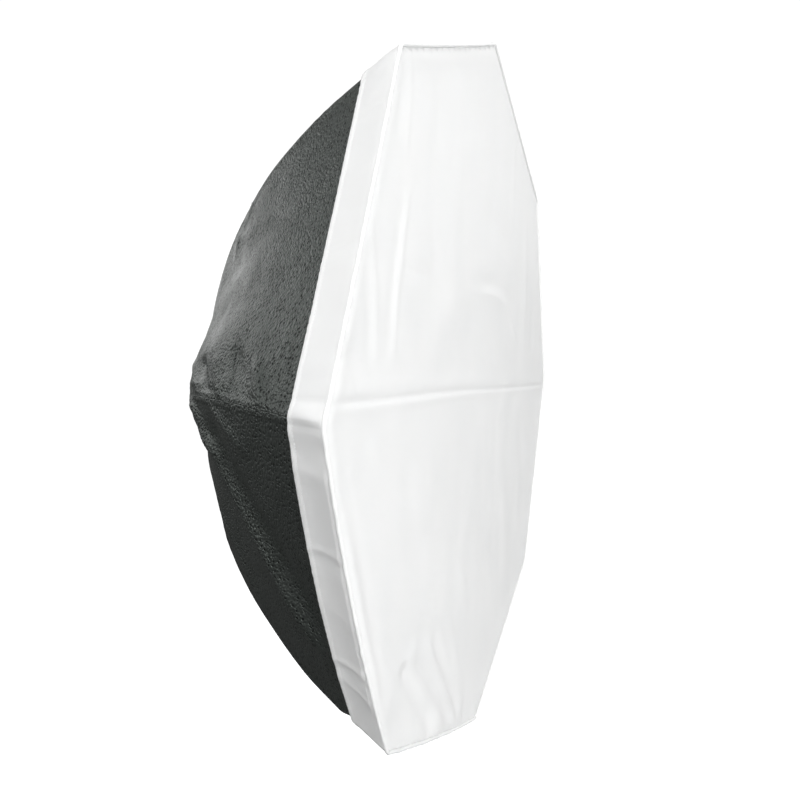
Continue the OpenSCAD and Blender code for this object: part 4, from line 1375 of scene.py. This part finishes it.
lug_steel = metal("pressed_steel", (0.38, 0.38, 0.39), (0.60, 0.60, 0.61), 0.32, grain=380.0)
LUG_IN, LUG_POST, LUG_REACH, LUG_HIGH, LUG_TAB, LUG_ARC = 0.052, 0.0035, 0.008, 0.011, 0.003, 26
lug_outline = [(LUG_IN, 0.00001), (LUG_IN + LUG_POST, 0.00001), (LUG_IN + LUG_POST, 0.0072),
               (LUG_IN + LUG_POST + 0.0008, LUG_HIGH - LUG_TAB),
               (LUG_IN + LUG_REACH, LUG_HIGH - LUG_TAB),
               (LUG_IN + LUG_REACH, LUG_HIGH), (LUG_IN, LUG_HIGH)]
parts = []
for n in range(3):
    bm = bmesh.new()
    turn0 = math.radians(90 - LUG_ARC / 2 + 120 * n)
    rim = [bm.verts.new((r * math.cos(turn0), y, r * math.sin(turn0))) for r, y in lug_outline]
    end = bm.faces.new(rim)
    bmesh.ops.duplicate(bm, geom=[end])       # the spin takes the first face along, so a copy stays
    bmesh.ops.spin(bm, geom=[end], cent=(0, 0, 0), axis=(0, -1, 0), angle=math.radians(LUG_ARC),
                   steps=14, use_merge=False)
    bmesh.ops.remove_doubles(bm, verts=bm.verts, dist=1e-6)
    bmesh.ops.recalc_face_normals(bm, faces=bm.faces)
    sharp = [e for e in bm.edges
             if len(e.link_faces) == 2 and e.calc_face_angle() > math.radians(40)]
    bmesh.ops.bevel(bm, geom=sharp, offset=0.0004, segments=2, affect="EDGES", profile=0.5,
                    material=-1)
    parts.append(bm)
gather("bayonet_lug_set", parts, lug_steel, "mount", ["bayonet_lugs"])

# ---------------------------------------------------------------------------------------------
# Retaining ring: a flat plate, painted like the casting, that keeps the insert in its seat. Eight
# slotted pan-head screws hold it.
# ---------------------------------------------------------------------------------------------
PLATE_FRONT, PLATE_BACK = -0.00397, -0.002
base = temporary(turned([
    (0.0669, PLATE_FRONT), (0.0860, PLATE_FRONT), (0.0860, PLATE_BACK - 0.0006),
    (0.0854, PLATE_BACK), (0.0674, PLATE_BACK), (0.0669, PLATE_BACK - 0.0005)], 160))
holes = [bar([(0, -0.006), (0.0016, -0.006), (0.0016, 0.001), (0, 0.001)], at, TO_BACK, 24)
         for at in SCREW_SPOTS]
gather("retaining_plate", [cut_and_join(base, [], holes)], casting_paint, "softbox",
       ["retaining_ring"])

screw_steel = metal("zinc_plated_steel", (0.44, 0.44, 0.42), (0.66, 0.66, 0.65), 0.28, grain=600.0)
parts = []
for turn, at in zip(SCREW_TURNS, SCREW_SPOTS):
    screw = temporary(bar([
        (0, -0.0088), (0.0010, -0.0088), (0.0014, -0.0084), (0.0014, -0.00197), (0.0024, -0.00197),
        (0.0027, -0.0017), (0.0027, -0.0012), (0.0023, -0.0008), (0.0014, -0.0006), (0, -0.0006)],
        at, TO_BACK, 32))
    slot = bmesh.new()
    bmesh.ops.create_cube(slot, size=1, matrix=Matrix.Translation(at + Vector((0, -0.0005, 0)))
                          @ Matrix.Rotation(turn * 5 + 0.6, 4, "Y")
                          @ Matrix.Diagonal((0.008, 0.0014, 0.0007, 1)))
    parts.append(cut_and_join(screw, [], [slot]))
gather("plate_screws", parts, screw_steel, "softbox", ["retaining_screws"])

# ---------------------------------------------------------------------------------------------
# Lock screws: a threaded steel shank with a fluted black plastic knob, and a loose brass pad at
# its end that presses in the insert's groove so that the thread doesn't mark it.
# ---------------------------------------------------------------------------------------------
pad_brass = metal("brass_pad", (0.42, 0.28, 0.10), (0.70, 0.51, 0.21), 0.30, grain=500.0)
shank_steel = metal("threaded_steel", (0.40, 0.40, 0.40), (0.62, 0.62, 0.61), 0.26, grain=700.0)
knob_plastic, shader, add, wire = node_material("knob_plastic", (0.020, 0.020, 0.021), 0.40)
spot = add("TexCoord").outputs["Object"]
spark = add("TexNoise", {"Vector": spot, "Scale": 900.0, "Detail": 2.0})
rub = add("TexNoise", {"Vector": spot, "Scale": 110.0, "Detail": 5.0})
wire(add("Bump", {"Height": spark, "Strength": 0.5, "Distance": 0.00015}), "Normal")
wire(add("MapRange", {0: rub, 1: 0.35, 2: 0.7, 3: 0.30, 4: 0.50}), "Roughness")
wire(add("MixRGB", {0: rub, 1: (0.016, 0.016, 0.017, 1), 2: (0.030, 0.030, 0.031, 1)}),
     "Base Color")
PAD_IN, PAD_OUT = 0.07105, 0.07255
KNOB_IN, KNOB_R = 0.096, 0.010
THREAD, SHANK_R = 0.0010, 0.0030
KNOB_SKIN = [
    (-0.0015, 0.0046), (-0.0014, 0.0058), (-0.0010, 0.0062), (0.0, 0.0062), (0.0004, 0.0070),
    (0.0008, 0.0086), (0.0016, 0.0096), (0.0026, KNOB_R), (0.0070, KNOB_R), (0.0120, KNOB_R),
    (0.0135, KNOB_R), (0.0147, 0.0096), (0.0155, 0.0087), (0.0159, 0.0076), (0.0160, 0.0066),
    (0.01585, 0.0060), (0.0152, 0.0056), (0.0150, 0.0050), (0.0150, 0.0005)]
for n, angle in enumerate(LOCK_TURNS):
    turn = math.radians(angle)
    way = Vector((math.cos(turn), 0, math.sin(turn)))
    start = Vector((0, LOCK_Y, 0))
    gather(f"brass_pad_{n + 1}", [bar([
        (0, PAD_IN), (0.0021, PAD_IN), (0.0025, PAD_IN + 0.0003), (0.0025, PAD_OUT - 0.0003),
        (0.0022, PAD_OUT), (0, PAD_OUT)], start, way, 40)], pad_brass, f"lock_pad_{n + 1}",
        [f"lock_pad_{n + 1}"])
    first, last = PAD_OUT + 0.00003, KNOB_IN
    count = 200
    stations = [(start + way * (first + (last - first) * i / count), way, SHANK_R)
                for i in range(count + 1)]
    bm = bmesh.new()
    swept(bm, stations, 30, lambda spin, i: (
        1 - 0.17 * abs(2 * ((((last - first) * i / count) / THREAD - spin / (2 * math.pi)) % 1) - 1)
        if 6 < i < count - 40 else 0.82 if i <= 1 else 0.86))
    gather(f"threaded_shank_{n + 1}", [bm], shank_steel, f"lock_screw_{n + 1}",
           [f"lock_shank_{n + 1}"])
    stations = [(start + way * (KNOB_IN + at), way, r) for at, r in KNOB_SKIN]
    bm = bmesh.new()
    swept(bm, stations, 160, lambda spin, i: (
        1 - (0.085 if 7 <= i <= 11 else 0.05 if i in (6, 12) else 0.0)
        * max(0.0, math.cos(20 * spin)) ** 1.5))
    gather(f"fluted_knob_{n + 1}", [bm], knob_plastic, f"lock_screw_{n + 1}",
           [f"lock_knob_{n + 1}"])
